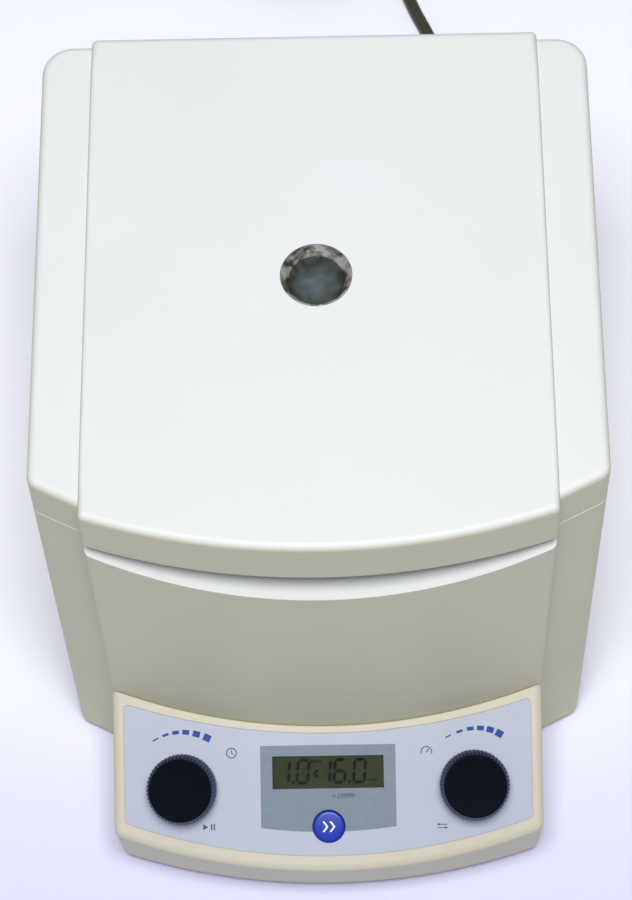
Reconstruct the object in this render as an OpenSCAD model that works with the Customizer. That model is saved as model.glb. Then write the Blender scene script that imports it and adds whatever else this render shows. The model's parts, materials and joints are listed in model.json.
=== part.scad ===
// Benchtop microcentrifuge with a hinged lid, a 24-place fixed-angle rotor, a sloping
// control console in front and a detachable mains lead behind.
// Millimetres. +Z is up and the console faces -Y. The origin is on the table, under the
// middle of the machine's own outline, without its mains lead.

/* [Body] */
// Width over the side wings
body_w = 210; // [208:1:214]
// Depth from the front of the console to the back of the hinges
body_d = 286; // [284:1:290]
// Height of the middle panel of the lid
body_h = 229; // [227:1:232]
// Width of the raised middle band that runs over the lid and down the front
band_w = 172; // [170:1:174]
// How far the band's front bulges between its two edges
band_bulge = 14.3; // [13:0.1:15.5]
// Height of the seam between lid and housing
seam_z = 204.5; // [203:0.5:206]
// Wall thickness of the moulded covers
wall = 3; // [2.6:0.1:3.4]
// Height of the rubber feet
foot_h = 5; // [5:0.5:6]

/* [Lid] */
// Step from the band down to the tops of the wings
wing_drop = 2.3; // [1.5:0.1:3]
// Step from the band back to the fronts of the wings
wing_step = 5.7; // [4:0.1:7]
// Outer radius of the viewing port in the lid
port_r = 13.3; // [12:0.1:14]

/* [Console] */
// Slope of the control panel, in degrees from level
panel_tilt = 25.3; // [24:0.1:27]
// Height of the panel's back edge at its two ends
panel_top = 72.7; // [71:0.1:74]
// How far the console's foot is set back from the panel's front edge
console_setback = 6.7; // [5:0.1:8]
// Distance of each rotary knob from the middle
knob_x = 58.4; // [56:0.1:60]
// Radius of the rotary knobs
knob_r = 14; // [13:0.1:14.5]
// Radius of the round push button
button_r = 6.3; // [5.5:0.1:6.5]
// Travel of the knobs and of the button when they are pressed
press = 0.8; // [0.5:0.1:1]

/* [Rotor] */
// Position of the rotor's axis from front to back
rotor_y = 22; // [21:0.5:23]
// Inner radius of the rotor chamber
chamber_r = 88.5; // [88:0.1:89]
// Outer radius of the rotor
rotor_r = 84.5; // [84:0.1:85]
// Number of tube places
tube_count = 24; // [12:1:24]
// Radius of each tube bore
tube_r = 5.5; // [5:0.1:5.6]
// Depth of each tube bore along its own axis
tube_depth = 38; // [34:1:38]
// Height of the middle of the tube mouths
mouth_z = 160; // [158:0.5:162]

/* [Mains lead] */
// Diameter of the lead
cord_d = 6; // [6:1:6]
// Radius of the coil at the middle of its outermost turn
coil_turn_r = 45; // [45:1:45]

/* [Hidden] */

fine = 96;          // segments of large true circles
small = 32;         // segments of small true circles
eps = 1;            // how far a cutter runs past the face it cuts

// Outline of the covers
half_w = body_w / 2;
band_hw = band_w / 2;
front_y = -body_d / 2;
back_y = body_d / 2 - 12.5;                         // back of the band
band_front = front_y + 52.7;                        // front of the band at its middle
band_side = band_front + band_bulge;                // front of the band at its edges
bulge_r = (band_hw * band_hw + band_bulge * band_bulge) / (2 * band_bulge);
wing_front = band_side + wing_step;
wing_back = back_y - 2;
wing_angle = 27;                                    // slant of the wing fronts, in degrees
wing_corner_r = 6;
back_corner_r = 12;
seam_gap = 0.8;
deck_z = seam_z - seam_gap / 2;                     // top of the housing
deck_t = 4;
lid_z = seam_z + seam_gap / 2;                      // bottom rim of the lid
scoop_angle = 39.4;                                 // slope of the finger scoop
scoop_z = seam_z - 7.2;                             // its height at the band's front corners
scoop_reach = 8;                                    // how far it reaches in from the front

// Rotor chamber
bowl_t = 1.2;
bowl_floor = 119.2;                                 // top face of the chamber's floor
bowl_corner_r = 12;
bowl_eye_r = 14;
flange_r = chamber_r + 3.5;
rim_z = deck_z + bowl_t;
gasket_h = 2.7;

// Lid
liner_z = rim_z + gasket_h + 0.4;                   // underside of the liner
liner_t = 1.5;
liner_top = liner_z + liner_t;
lens_z = body_h - 5.6;
lens_r = 10.4;
hinge_y = body_d / 2 - 5.8;
hinge_z = 198;
hinge_x = 55;                                       // middle of each hinge
pin_r = 2.5;
knuckle_r = 5.5;
lid_boss = [[80, 100], [80, -46]];                  // lid screws on one side
hook_y = band_side + 2.8;                           // middle of the hook plate
hook_t = 2;

// Latch
pawl_y = band_side - 3.5;
pawl_z = 150;
pawl_reach = 40;                                    // pivot to plunger
pawl_top = 188;

// Rotor
rotor_bottom = mouth_z - 34;
mouth_rr = 52.1;                                    // radius of the circle of tube mouths
rim_r = 66;
rotor_top = mouth_z + 10;
shaft_r = 5;
stud_r = 4;                                         // threaded end of the shaft
rotor_lid_z = rotor_top + 0.1;
lid_knob_z = rotor_lid_z + 3.5;

// Motor
motor_r = 40;
motor_z = 28;
flange_z = 103;
mount_rr = 60;                                      // circle of the rubber mounts
frame_z = 88;
post_rr = 66;

// Console
floor_z = 7;                                        // underside of the console
console_wall = 2.5;
overlay_sink = 0.3;
overlay_t = 0.5;
overlay_hw = 81.6;
knob_s = 40.4;                                      // distance down the panel to the knobs
knob_gap = press + 0.6;                              // gap under a knob at rest
knob_h = 16;
button_s = 56.5;
lcd_hw = 22.3;
lcd_s = [28.3, 41.4];
board_depth = 14;                                   // control board below the panel face

// Rear connections
inlet = [56, 44];                                   // x and z of the mains inlet
fuse_z = 64;
rocker = [14, 50];                                  // x and z of the mains switch
rocker_tilt = 7;
panel_y = back_y - wall;                            // outer face of the rear panel

// Mains lead: its route to the coil, then the coil and the plug beside it
coil_c = [-9, 358];
coil_lift = 0.8;
coil_h = 2 * cord_d + 0.3;
relief_end = 186;
route = [[56, 186, 44], [56, 198, 44], [56, 210, 42], [56, 221, 36.5], [56, 230, 28],
    [56, 239, 18], [56, 249, 9.5], [56, 261, 4.5], [55, 274, 3], [51, 287, 3],
    [45.5, 300, 3], [41, 313, 3], [38, 327, 3], [36.5, 342, 3.4], [36, 358, 3.8]];
plug_z = 12;
plug_y = coil_c[1] + coil_turn_r;

// Points along an arc, from angle a0 to angle a1 in n steps
function arc(c, r, a0, a1, n) =
    [for (i = [0:n]) c + r * [cos(a0 + (a1 - a0) * i / n), sin(a0 + (a1 - a0) * i / n)]];

// Band outline, drawn in by d on every side
module band2d(d) {
    hw = band_hw - d;
    r = bulge_r - d;
    span = asin(hw / r);
    front = arc([0, band_front + bulge_r], r, 270 - span, 270 + span, 32);
    polygon(concat(front, [[hw, back_y - d], [-hw, back_y - d]]));
}

// Points of the right wing's outline, drawn in by d, from its front root to its back root
function wing_points(d) = let (
        root_x = band_hw - d,
        c = [half_w - wing_corner_r, wing_front
            + ((half_w - wing_corner_r - band_hw) * sin(wing_angle) + wing_corner_r)
            / cos(wing_angle)],
        root_y = c[1] + ((root_x - c[0]) * sin(wing_angle) - wing_corner_r + d)
            / cos(wing_angle))
    concat([[root_x, root_y]], arc(c, wing_corner_r - d, wing_angle - 90, 0, 6),
        arc([half_w - back_corner_r, wing_back - back_corner_r], back_corner_r - d, 0, 90, 10),
        [[root_x, wing_back - d]]);

// Outline of the covers, drawn in by d
module shell2d(d) {
    hw = band_hw - d;
    r = bulge_r - d;
    span = asin(hw / r);
    right = wing_points(d);
    last = len(right) - 1;
    left = [for (i = [0:last]) [-right[last - i][0], right[last - i][1]]];
    polygon(concat(arc([0, band_front + bulge_r], r, 270 - span, 270 + span, 32), right,
        [[hw, back_y - d], [-hw, back_y - d]], left));
}

// The finger scoop under the lid's front edge: a sloping floor below a curved back
module scoop(d) {
    difference() {
        intersection() {
            translate([-band_hw - eps, front_y, 150])
                cube([band_w + 2 * eps, wing_front - 1.2 + d - front_y, 80]);
            translate([-half_w, band_side, scoop_z]) rotate([scoop_angle, 0, 0])
                translate([0, -60, -d]) cube([body_w, 90, 90]);
        }
        translate([0, band_front + bulge_r, 100])
            cylinder(r = bulge_r - scoop_reach - d, h = 150, $fn = 360);
    }
}

// Rounded bar along X, used for pins and knuckles
module x_rod(r, x0, x1, y, z) {
    translate([x0, y, z]) rotate([0, 90, 0]) cylinder(r = r, h = x1 - x0, $fn = small);
}

// Rod along Y
module y_rod(r, y0, y1, x, z) {
    translate([x, y1, z]) rotate([90, 0, 0]) cylinder(r = r, h = y1 - y0, $fn = small);
}

// Moves children onto the panel: x across, y back up the slope, z out of the face
module on_panel() {
    translate([0, band_side, panel_top]) rotate([panel_tilt, 0, 0]) children();
}

// Children at both ends of a mirrored pair
module both() {
    children();
    mirror([1, 0, 0]) children();
}

// Pan-head screw pointing up, with its head's underside at z = 0
module screw(r, length, head_r, head_h) {
    translate([0, 0, -head_h]) difference() {
        cylinder(r = head_r, h = head_h, $fn = small);
        for (a = [0, 90]) rotate([0, 0, a])
            translate([-head_r * 0.6, -0.4, -eps]) cube([head_r * 1.2, 0.8, eps + 0.8]);
    }
    cylinder(r = r, h = length, $fn = small);
}

// ---------------------------------------------------------------- base and covers

foot_at = [[78, 106], [78, -46]];
post_at = [[96, 92], [96, -36]];
panel_screw_at = [[-70, 24], [-70, 78], [78, 24], [78, 78]];

module base_plate() {
    color("silver") difference() {
        translate([0, 0, foot_h]) linear_extrude(2) shell2d(wall + 0.4);
        both() for (p = post_at) translate([p[0], p[1], 0])
            cylinder(r = 2.2, h = 20, $fn = small);
    }
}

module feet() {
    color("dimgray") both() for (p = foot_at) translate([p[0], p[1], 0]) {
        cylinder(r1 = 9, r2 = 10, h = foot_h, $fn = small);
    }
}

module housing() {
    color("beige") difference() {
        union() {
            difference() {
                translate([0, 0, foot_h]) linear_extrude(deck_z - foot_h) shell2d(0);
                difference() {
                    translate([0, 0, foot_h - eps])
                        linear_extrude(deck_z - deck_t - foot_h + eps) shell2d(wall);
                    scoop(wall);
                }
            }
            both() for (p = post_at) translate([p[0], p[1], foot_h + 2.2])
                cylinder(r = 6.5, h = 40, $fn = small);
        }
        scoop(0);
        translate([0, rotor_y, deck_z - deck_t - eps])
            cylinder(r = chamber_r + bowl_t + 0.5, h = deck_t + 2 * eps, $fn = fine);
        translate([-9, hook_y - 2.6, deck_z - deck_t - eps])
            cube([18, 4.7, deck_t + 2 * eps]);
        translate([-66, back_y - wall - eps, 20]) cube([140, wall + 2 * eps, 62]);
        translate([-30, band_front - eps, 16]) cube([60, wall + 2 * eps + 2, 24]);
        both() for (p = post_at) translate([p[0], p[1], 0])
            cylinder(r = 1.55, h = 24, $fn = small);
        for (p = panel_screw_at) y_rod(1.6, back_y - 5, back_y + 5, p[0], p[1]);
    }
}

module rear_panel() {
    slot_w = 2.6;
    color("gainsboro") difference() {
        translate([-74, panel_y - 1.6, 14]) cube([156.4, 1.5, 74]);
        for (i = [0:8]) for (z = [28, 54])
            translate([-58 + i * 6, panel_y - 3, z]) cube([slot_w, 5, 20]);
        translate([inlet[0] - 14.1, panel_y - 3, inlet[1] - 10.6]) cube([28.2, 5, 41.2]);
        translate([rocker[0] - 10.6, panel_y - 3, rocker[1] - 14.1]) cube([21.2, 5, 28.2]);
        for (p = panel_screw_at) y_rod(1.6, panel_y - 4, panel_y + 4, p[0], p[1]);
    }
}

module case_screws() {
    color("gray") {
        both() for (p = post_at) translate([p[0], p[1], foot_h]) screw(1.5, 14, 3.4, 1.8);
        for (p = panel_screw_at) translate([p[0], back_y, p[1]]) rotate([90, 0, 0])
            screw(1.5, 7, 2.8, 1.6);
    }
}

// ---------------------------------------------------------------- mains inlet and switch

module mains_inlet() {
    color("black") difference() {
        union() {
            translate([inlet[0] - 17, panel_y, inlet[1] - 14]) cube([34, 2, 48]);
            translate([inlet[0] - 13.8, panel_y - 20, inlet[1] - 10.3])
                cube([27.6, 20.5, 40.6]);
        }
        translate([inlet[0] - 12.3, panel_y - 17, inlet[1] - 8.3]) cube([24.6, 20, 16.6]);
        translate([inlet[0] - 9, panel_y - 17, fuse_z - 5]) cube([18, 20, 10]);
    }
}

module inlet_pins() {
    color("silver") for (p = [[-7, -2], [7, -2], [0, 2]])
        translate([inlet[0] + p[0] - 2, panel_y - 16.9, inlet[1] + p[1] - 1])
            cube([4, 14, 2]);
}

module fuse_drawer() {
    color("dimgray") {
        translate([inlet[0] - 8.7, panel_y - 14, fuse_z - 4.7]) difference() {
            cube([17.4, 15.8, 9.4]);
            translate([2, 2, 2]) cube([13.4, 9, 9]);
        }
        translate([inlet[0] - 8.7, panel_y + 1.8, fuse_z + 1.7]) cube([17.4, 1.4, 2]);
    }
}

module switch_frame() {
    color("black") difference() {
        union() {
            translate([rocker[0] - 12.5, panel_y, rocker[1] - 16]) cube([25, 1.6, 32]);
            translate([rocker[0] - 10.3, panel_y - 20, rocker[1] - 13.8])
                cube([20.6, 20.5, 27.6]);
        }
        translate([rocker[0] - 8.5, panel_y - 13, rocker[1] - 12]) cube([17, 20, 24]);
        x_rod(1.6, rocker[0] - 9.6, rocker[0] + 9.6, panel_y - 5, rocker[1]);
    }
}

// Rocker with its two faces meeting over the pivot, resting with its upper half pressed in
module power_rocker() {
    half = 10.5;
    color("black") translate([rocker[0], panel_y - 5, rocker[1]])
        rotate([rocker_tilt, 0, 0]) {
            rotate([90, 0, 90]) translate([0, 0, -8]) linear_extrude(16)
                polygon([[-4, -6], [3, -half], [5.6, -half], [4.4, 0], [5.6, half],
                    [3, half], [-4, 6]]);
            x_rod(1.5, -9.3, 9.3, 0, 0);
        }
}

// ---------------------------------------------------------------- rotor chamber

module chamber_bowl() {
    ri = chamber_r;
    ro = chamber_r + bowl_t;
    zf = bowl_floor;
    inner = arc([ri - bowl_corner_r, zf + bowl_corner_r], bowl_corner_r, -90, 0, 8);
    outer = arc([ri - bowl_corner_r, zf + bowl_corner_r], bowl_corner_r + bowl_t, 0, -90, 8);
    color("lightgray") translate([0, rotor_y, 0]) rotate_extrude($fn = fine)
        polygon(concat([[bowl_eye_r, zf + 5], [bowl_eye_r + bowl_t, zf + 5],
            [bowl_eye_r + bowl_t, zf]], inner, [[ri, rim_z], [flange_r, rim_z],
            [flange_r, rim_z - bowl_t], [ro, rim_z - bowl_t]], outer,
            [[bowl_eye_r, zf - bowl_t]]));
}

module bowl_gasket() {
    r0 = chamber_r + 0.2;
    r1 = flange_r - 0.2;
    mid = (r0 + r1) / 2;
    top = arc([mid, rim_z + gasket_h - (r1 - r0) / 2], (r1 - r0) / 2, 0, 180, 8);
    color("dimgray") translate([0, rotor_y, 0]) rotate_extrude($fn = fine)
        polygon(concat([[r0, rim_z], [r1, rim_z]], top));
}

// ---------------------------------------------------------------- motor

module motor_can() {
    color("slategray") translate([0, rotor_y, 0]) difference() {
        union() {
            translate([0, 0, motor_z]) cylinder(r = motor_r, h = 79, $fn = fine);
            translate([0, 0, flange_z]) cylinder(r = 70, h = 3, $fn = fine);
            translate([0, 0, 106]) cylinder(r = 12.4, h = 6, $fn = small);
        }
        translate([0, 0, motor_z + 3]) cylinder(r = 11.02, h = 11, $fn = small);
        translate([0, 0, motor_z + 11]) cylinder(r = 37, h = 56, $fn = fine);
        translate([0, 0, motor_z + 3]) cylinder(r = shaft_r + 2, h = 90, $fn = small);
        translate([0, 0, 97]) cylinder(r = 11.02, h = 20, $fn = small);
        translate([0, 0, 94]) cylinder(r = 9, h = 4, $fn = small);
    }
}

module motor_stator() {
    color("peru") translate([0, rotor_y, motor_z + 14]) difference() {
        cylinder(r = 36.9, h = 48, $fn = fine);
        translate([0, 0, -eps]) cylinder(r = 26, h = 50, $fn = fine);
    }
}

module shaft_bearings() {
    color("silver") translate([0, rotor_y, 0]) for (z = [motor_z + 3.2, 98]) difference() {
        translate([0, 0, z]) cylinder(r = 11, h = 7, $fn = small);
        translate([0, 0, z - eps]) cylinder(r = shaft_r + 0.03, h = 10, $fn = small);
    }
}

module motor_mounts() {
    color("dimgray") for (a = [30, 150, 270])
        translate([mount_rr * cos(a), rotor_y + mount_rr * sin(a), frame_z + 3])
            cylinder(r = 8, h = flange_z - frame_z - 3, $fn = small);
}

module motor_frame() {
    color("silver") translate([0, rotor_y, 0]) {
        difference() {
            translate([0, 0, frame_z]) cylinder(r = 76, h = 3, $fn = fine);
            translate([0, 0, frame_z - eps]) cylinder(r = motor_r + 4, h = 6, $fn = fine);
        }
        for (a = [90, 210, 330]) translate([post_rr * cos(a), post_rr * sin(a), 7])
            cylinder(r = 5, h = frame_z - 7, $fn = small);
    }
}

module drive_shaft() {
    color("silver") translate([0, rotor_y, 0]) {
        translate([0, 0, motor_z + 4]) cylinder(r = shaft_r, h = 158 - motor_z - 4, $fn = small);
        translate([0, 0, 158]) cylinder(r = stud_r, h = 22, $fn = small);
    }
}

module motor_armature() {
    color("darkgray") translate([0, rotor_y, motor_z + 16]) difference() {
        cylinder(r = 25.2, h = 44, $fn = fine);
        translate([0, 0, -eps]) cylinder(r = shaft_r + 0.02, h = 50, $fn = small);
    }
}

// ---------------------------------------------------------------- rotor

// Fixed-angle rotor: every bore is square to the conical face at 45 degrees
module tube_rotor() {
    face_in = 45;
    color("darkgray") translate([0, rotor_y, 0]) difference() {
        rotate_extrude($fn = fine) polygon([[shaft_r + 0.03, rotor_bottom + 6],
            [14, rotor_bottom + 6], [14, rotor_bottom], [76, rotor_bottom],
            [rotor_r, rotor_bottom + 8], [rotor_r, mouth_z - 16], [rim_r + 1, rotor_top],
            [rim_r - 4, rotor_top], [face_in, mouth_z + face_in - mouth_rr],
            [20, mouth_z + face_in - mouth_rr], [14, 157.8], [shaft_r + 0.03, 157.8]]);
        for (i = [0:tube_count - 1]) rotate([0, 0, (i + 0.5) * 360 / tube_count])
            translate([mouth_rr, 0, mouth_z]) rotate([0, 135, 0])
                translate([0, 0, -8]) cylinder(r = tube_r, h = tube_depth + 8, $fn = small);
    }
}

module rotor_nut() {
    color("silver") translate([0, rotor_y, 158.1]) difference() {
        cylinder(r = 8, h = 6, $fn = 6);
        translate([0, 0, -eps]) cylinder(r = stud_r + 0.03, h = 10, $fn = small);
    }
}

module rotor_lid() {
    color("gray") translate([0, rotor_y, 0]) difference() {
        union() {
            translate([0, 0, rotor_lid_z]) cylinder(r = rim_r, h = 2.4, $fn = fine);
            translate([0, 0, rotor_lid_z]) cylinder(r = 24, h = 3.2, $fn = fine);
            translate([0, 0, rotor_lid_z - 3]) cylinder(r = rim_r - 8, h = 3, $fn = fine);
        }
        translate([0, 0, rotor_lid_z - 5]) cylinder(r = rim_r - 10, h = 5, $fn = fine);
        translate([0, 0, rotor_lid_z - eps]) cylinder(r = 6.4, h = 6, $fn = small);
    }
}

module rotor_lid_knob() {
    color("gray") translate([0, rotor_y, 0]) difference() {
        union() {
            translate([0, 0, lid_knob_z]) cylinder(r = 15, h = 12, $fn = fine);
            translate([0, 0, lid_knob_z + 12]) cylinder(r1 = 15, r2 = 13.5, h = 1.5, $fn = fine);
            translate([0, 0, rotor_lid_z - 3]) cylinder(r = 6, h = 8, $fn = small);
        }
        translate([0, 0, rotor_lid_z - 4]) cylinder(r = stud_r + 0.05, h = 15, $fn = small);
    }
}

// ---------------------------------------------------------------- electronics

module power_board() {
    color("darkgreen") translate([-98, -24, 12]) cube([34, 104, 1.6]);
    color("dimgray") for (y = [0, 24, 48]) translate([-80, y, 13.6])
        cylinder(r = 9, h = 26, $fn = small);
    color("silver") translate([-97, -22, 13.6]) cube([4, 84, 24]);
    color("white") for (x = [-95, -68]) for (y = [-20, 74]) translate([x, y, 7])
        cylinder(r = 3, h = 5, $fn = small);
}

module transformer() {
    color("peru") translate([56, 18, 7]) cube([34, 46, 36]);
    color("dimgray") translate([52, 26, 12]) cube([42, 30, 26]);
}

module control_board() {
    color("darkgreen") on_panel() translate([-72, -61, -board_depth - 1.6])
        cube([144, 36, 1.6]);
}

// Rotary encoder with a push action, standing on the control board at distance x
module encoder(x) {
    color("gray") on_panel() translate([x, -knob_s, 0]) difference() {
        union() {
            translate([-6.5, -6.5, -board_depth]) cube([13, 13, 7]);
            translate([0, 0, -7]) cylinder(r = 4.5, h = 3.4, $fn = small);
        }
        translate([0, 0, -board_depth + 0.8]) cylinder(r = 3.6, h = 5.4, $fn = small);
        translate([0, 0, -board_depth + 2]) cylinder(r = 3.05, h = 20, $fn = small);
    }
}

module actuator(x) {
    color("black") on_panel() translate([x, -knob_s, -board_depth + 1.9])
        cylinder(r = 2.8, h = 1.6, $fn = small);
}

module encoder_shaft(x) {
    color("silver") on_panel() translate([x, -knob_s, -board_depth + 3.6])
        cylinder(r = 3, h = board_depth + 8, $fn = small);
}

// Knob with a blind bore for its shaft and a bevelled front disc
module knob(x) {
    color("midnightblue") on_panel() translate([x, -knob_s, 0]) difference() {
        union() {
            translate([0, 0, knob_gap]) cylinder(r = knob_r, h = 11, $fn = fine);
            translate([0, 0, knob_gap + 11])
                cylinder(r1 = knob_r, r2 = knob_r - 1, h = knob_h - knob_gap - 11, $fn = fine);
        }
        translate([0, 0, knob_gap - eps]) cylinder(r = knob_r - 2.5, h = 5, $fn = fine);
        translate([0, 0, 0]) cylinder(r = 3.02, h = 12, $fn = small);
    }
}

module time_encoder() { encoder(-knob_x); }
module speed_encoder() { encoder(knob_x); }
module time_actuator() { actuator(-knob_x); }
module speed_actuator() { actuator(knob_x); }
module time_shaft() { encoder_shaft(-knob_x); }
module speed_shaft() { encoder_shaft(knob_x); }
module time_knob() { knob(-knob_x); }
module speed_knob() { knob(knob_x); }

module lcd_display() {
    mid = -(lcd_s[0] + lcd_s[1]) / 2;
    color("olive") on_panel() translate([-lcd_hw - 2.5, mid - 8.2, -6])
        cube([2 * lcd_hw + 5, 16.4, 3.6]);
}

module display_window() {
    mid = -(lcd_s[0] + lcd_s[1]) / 2;
    color("lightgray", 0.4) on_panel() translate([-lcd_hw - 2.5, mid - 8.2, -2.2])
        cube([2 * lcd_hw + 5, 16.4, 1.3]);
}

// Moulded cap of the push button, with a collar that keeps it in the console
module short_button() {
    color("royalblue") on_panel() translate([0, -button_s, 0]) {
        translate([0, 0, -5]) cylinder(r = button_r, h = 6.2, $fn = fine);
        translate([0, 0, -6.2]) cylinder(r = button_r + 1.2, h = 1.3, $fn = fine);
        translate([0, 0, -9]) cylinder(r = 1.6, h = 4, $fn = small);
    }
}

module button_switch() {
    color("dimgray") on_panel() translate([-3, -button_s - 3, -board_depth])
        cube([6, 6, 4]);
}

// ---------------------------------------------------------------- console

// Solid of the console, drawn in by d at its sides and front and by top at its face. Its
// back follows the band's front, and reaches d further back.
module console_block(d, top) {
    hw = band_hw - d;
    cy = front_y + bulge_r;
    back_r = bulge_r + 0.1 - d;
    span = asin(hw / back_r);
    back = arc([0, band_front + bulge_r], back_r, 270 + span, 270 - span, 32);
    edge_z = panel_top - (band_side - front_y) * tan(panel_tilt);
    intersection() {
        translate([0, 0, floor_z + d]) linear_extrude(90)
            polygon(concat([[-hw, front_y - 5], [hw, front_y - 5]], back));
        translate([0, cy, floor_z]) union() {
            cylinder(r1 = bulge_r - console_setback - d, r2 = bulge_r - d,
                h = edge_z - floor_z, $fn = 360);
            translate([0, 0, edge_z - floor_z]) cylinder(r = bulge_r - d, h = 60, $fn = 360);
        }
        on_panel() translate([-100, -100, -160 - top]) cube([200, 140, 160]);
    }
}

// Outline of the printed overlay, seen square to the panel, drawn in by d
module overlay2d(d) {
    hw = overlay_hw - d;
    top_r = 260;
    low_r = 241;
    top_span = asin(hw / top_r);
    low_span = asin(hw / low_r);
    top = arc([0, -19.3 + top_r], top_r, 270 - top_span, 270 + top_span, 24);
    low = arc([0, -68.3 + low_r], low_r, 270 + low_span, 270 - low_span, 24);
    polygon(concat([for (p = top) [p[0], p[1] - d]], [for (p = low) [p[0], p[1] + d]]));
}

// Holes that the panel's controls pass through
module panel_holes() {
    for (x = [-knob_x, knob_x]) translate([x, -knob_s, -20])
        cylinder(r = 4.8, h = 30, $fn = small);
    translate([0, -button_s, -20]) cylinder(r = button_r + 0.35, h = 30, $fn = fine);
}

module console() {
    face_t = console_wall + overlay_sink + overlay_t;
    color("wheat") difference() {
        console_block(0, 0);
        console_block(console_wall, face_t);
        on_panel() {
            translate([0, 0, -overlay_sink - overlay_t]) linear_extrude(5) overlay2d(0);
            panel_holes();
            translate([-lcd_hw - 2.7, -lcd_s[1] - 1.9, -20])
                cube([2 * lcd_hw + 5.4, 16.9, 30]);
        }
    }
}

module panel_overlay() {
    color("lightsteelblue") on_panel() difference() {
        translate([0, 0, -overlay_sink - overlay_t]) linear_extrude(overlay_t)
            overlay2d(0.2);
        panel_holes();
        translate([-lcd_hw, -lcd_s[1], -5]) cube([2 * lcd_hw, lcd_s[1] - lcd_s[0], 10]);
    }
}

// ---------------------------------------------------------------- lid

module lid_shell() {
    wing_top = body_h - wing_drop;
    color("whitesmoke") difference() {
        union() {
            difference() {
                union() {
                    translate([0, 0, lid_z]) linear_extrude(wing_top - lid_z) shell2d(0);
                    translate([0, 0, lid_z]) linear_extrude(body_h - lid_z) band2d(0);
                }
                translate([0, 0, lid_z - eps])
                    linear_extrude(wing_top - wall - lid_z + eps) shell2d(wall);
            }
            both() for (p = lid_boss) translate([p[0], p[1], liner_top + 0.1])
                cylinder(r = 4, h = wing_top - 2 - liner_top, $fn = small);
        }
        translate([0, rotor_y, lid_z]) cylinder(r = lens_r + 1.2, h = 40, $fn = fine);
        translate([0, rotor_y, body_h - 5.1]) cylinder(r = port_r + 0.05, h = 10, $fn = fine);
        both() {
            translate([hinge_x - 8.5, back_y - wall - eps, lid_z - eps])
                cube([17, wall + 2 * eps, 10]);
            for (p = lid_boss) translate([p[0], p[1], liner_top])
                cylinder(r = 1.55, h = 9, $fn = small);
        }
    }
}

module lid_liner() {
    color("gainsboro") difference() {
        translate([0, 0, liner_z]) linear_extrude(liner_t) shell2d(wall + 0.5);
        translate([0, rotor_y, liner_z - eps]) cylinder(r = lens_r + 1.2, h = 5, $fn = fine);
        translate([-8.4, hook_y - 1.4, liner_z - eps]) cube([16.8, 2.8, 5]);
        both() for (p = lid_boss) translate([p[0], p[1], liner_z - eps])
            cylinder(r = 1.8, h = 5, $fn = small);
    }
}

module lid_screws() {
    color("gray") both() for (p = lid_boss) translate([p[0], p[1], liner_z])
        screw(1.5, 8, 3.4, 1.8);
}

// Clear ring with a bevelled mouth, reaching down through the lid to the liner
module port_ring() {
    color("white", 0.6) translate([0, rotor_y, 0]) rotate_extrude($fn = fine)
        polygon([[lens_r + 1, liner_z], [lens_r + 1, body_h - 5.1], [port_r, body_h - 5.1],
            [port_r, body_h - 0.2], [port_r - 0.5, body_h], [lens_r, body_h - 3.4],
            [lens_r, lens_z + 0.05], [lens_r - 1.6, lens_z + 0.05],
            [lens_r - 1.6, lens_z - 2.3], [lens_r, lens_z - 2.3], [lens_r, liner_z]]);
}

module port_lens() {
    color("lightblue", 0.4) translate([0, rotor_y, lens_z + 0.1])
        cylinder(r = lens_r - 0.1, h = 2, $fn = fine);
}

// Striker plate that hangs from the liner, with a window for the pawl
module lid_hook() {
    top = liner_top + 2;
    low = pawl_top - 9.5;
    color("silver") difference() {
        union() {
            translate([-8, hook_y - hook_t / 2, low]) cube([16, hook_t, top - low]);
            translate([-8, hook_y - hook_t / 2, liner_top + 0.05]) cube([16, 16, 1.95]);
        }
        translate([-5.4, hook_y - 5, low + 3]) cube([10.8, 10, 8.5]);
    }
}

module hinge_arms() {
    plate_z = liner_top + 0.05;
    color("silver") both() difference() {
        union() {
            translate([hinge_x - 7.6, 92, plate_z]) cube([15.2, hinge_y - 89, 3]);
            for (x = [hinge_x - 7.6, hinge_x + 4.6]) {
                translate([x, hinge_y - 3, hinge_z]) cube([3, 6, plate_z + 3 - hinge_z]);
                x_rod(knuckle_r, x, x + 3, hinge_y, hinge_z);
            }
        }
        x_rod(pin_r + 0.06, hinge_x - 20, hinge_x + 20, hinge_y, hinge_z);
    }
}

module hinge_pins() {
    color("gray") both() {
        x_rod(pin_r, hinge_x - 15.4, hinge_x + 15.4, hinge_y, hinge_z);
        x_rod(pin_r + 1.2, hinge_x + 15.4, hinge_x + 17, hinge_y, hinge_z);
    }
}

// Two ears either side of each arm, on foot plates screwed to the back of the housing
module hinge_brackets() {
    color("silver") both() difference() {
        for (side = [-1, 1]) {
            near = hinge_x + side * 8;
            far = hinge_x + side * 15;
            x0 = min(near, far);
            x_rod(5.8, x0, x0 + 7, hinge_y, hinge_z);
            translate([x0, back_y + 0.05, 180]) cube([7, hinge_y - back_y, 18]);
            translate([x0 - (side < 0 ? 8 : 0), back_y + 0.05, 174]) cube([15, 2, 26]);
        }
        x_rod(pin_r + 0.02, hinge_x - 20, hinge_x + 20, hinge_y, hinge_z);
    }
}

// Torsion springs that lift the lid: close coils on the pins, each with one fixed leg
module hinge_springs() {
    wire = 0.9;
    color("silver") both() {
        for (i = [0:3]) translate([hinge_x - 2.7 + i * 1.8, hinge_y, hinge_z])
            rotate([0, 90, 0]) rotate_extrude($fn = small)
                translate([4, 0]) circle(r = wire + 0.02, $fn = 16);
        translate([hinge_x - 2.7, hinge_y - 4, 182]) cylinder(r = wire, h = 16, $fn = 16);
    }
}

// ---------------------------------------------------------------- latch

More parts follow.
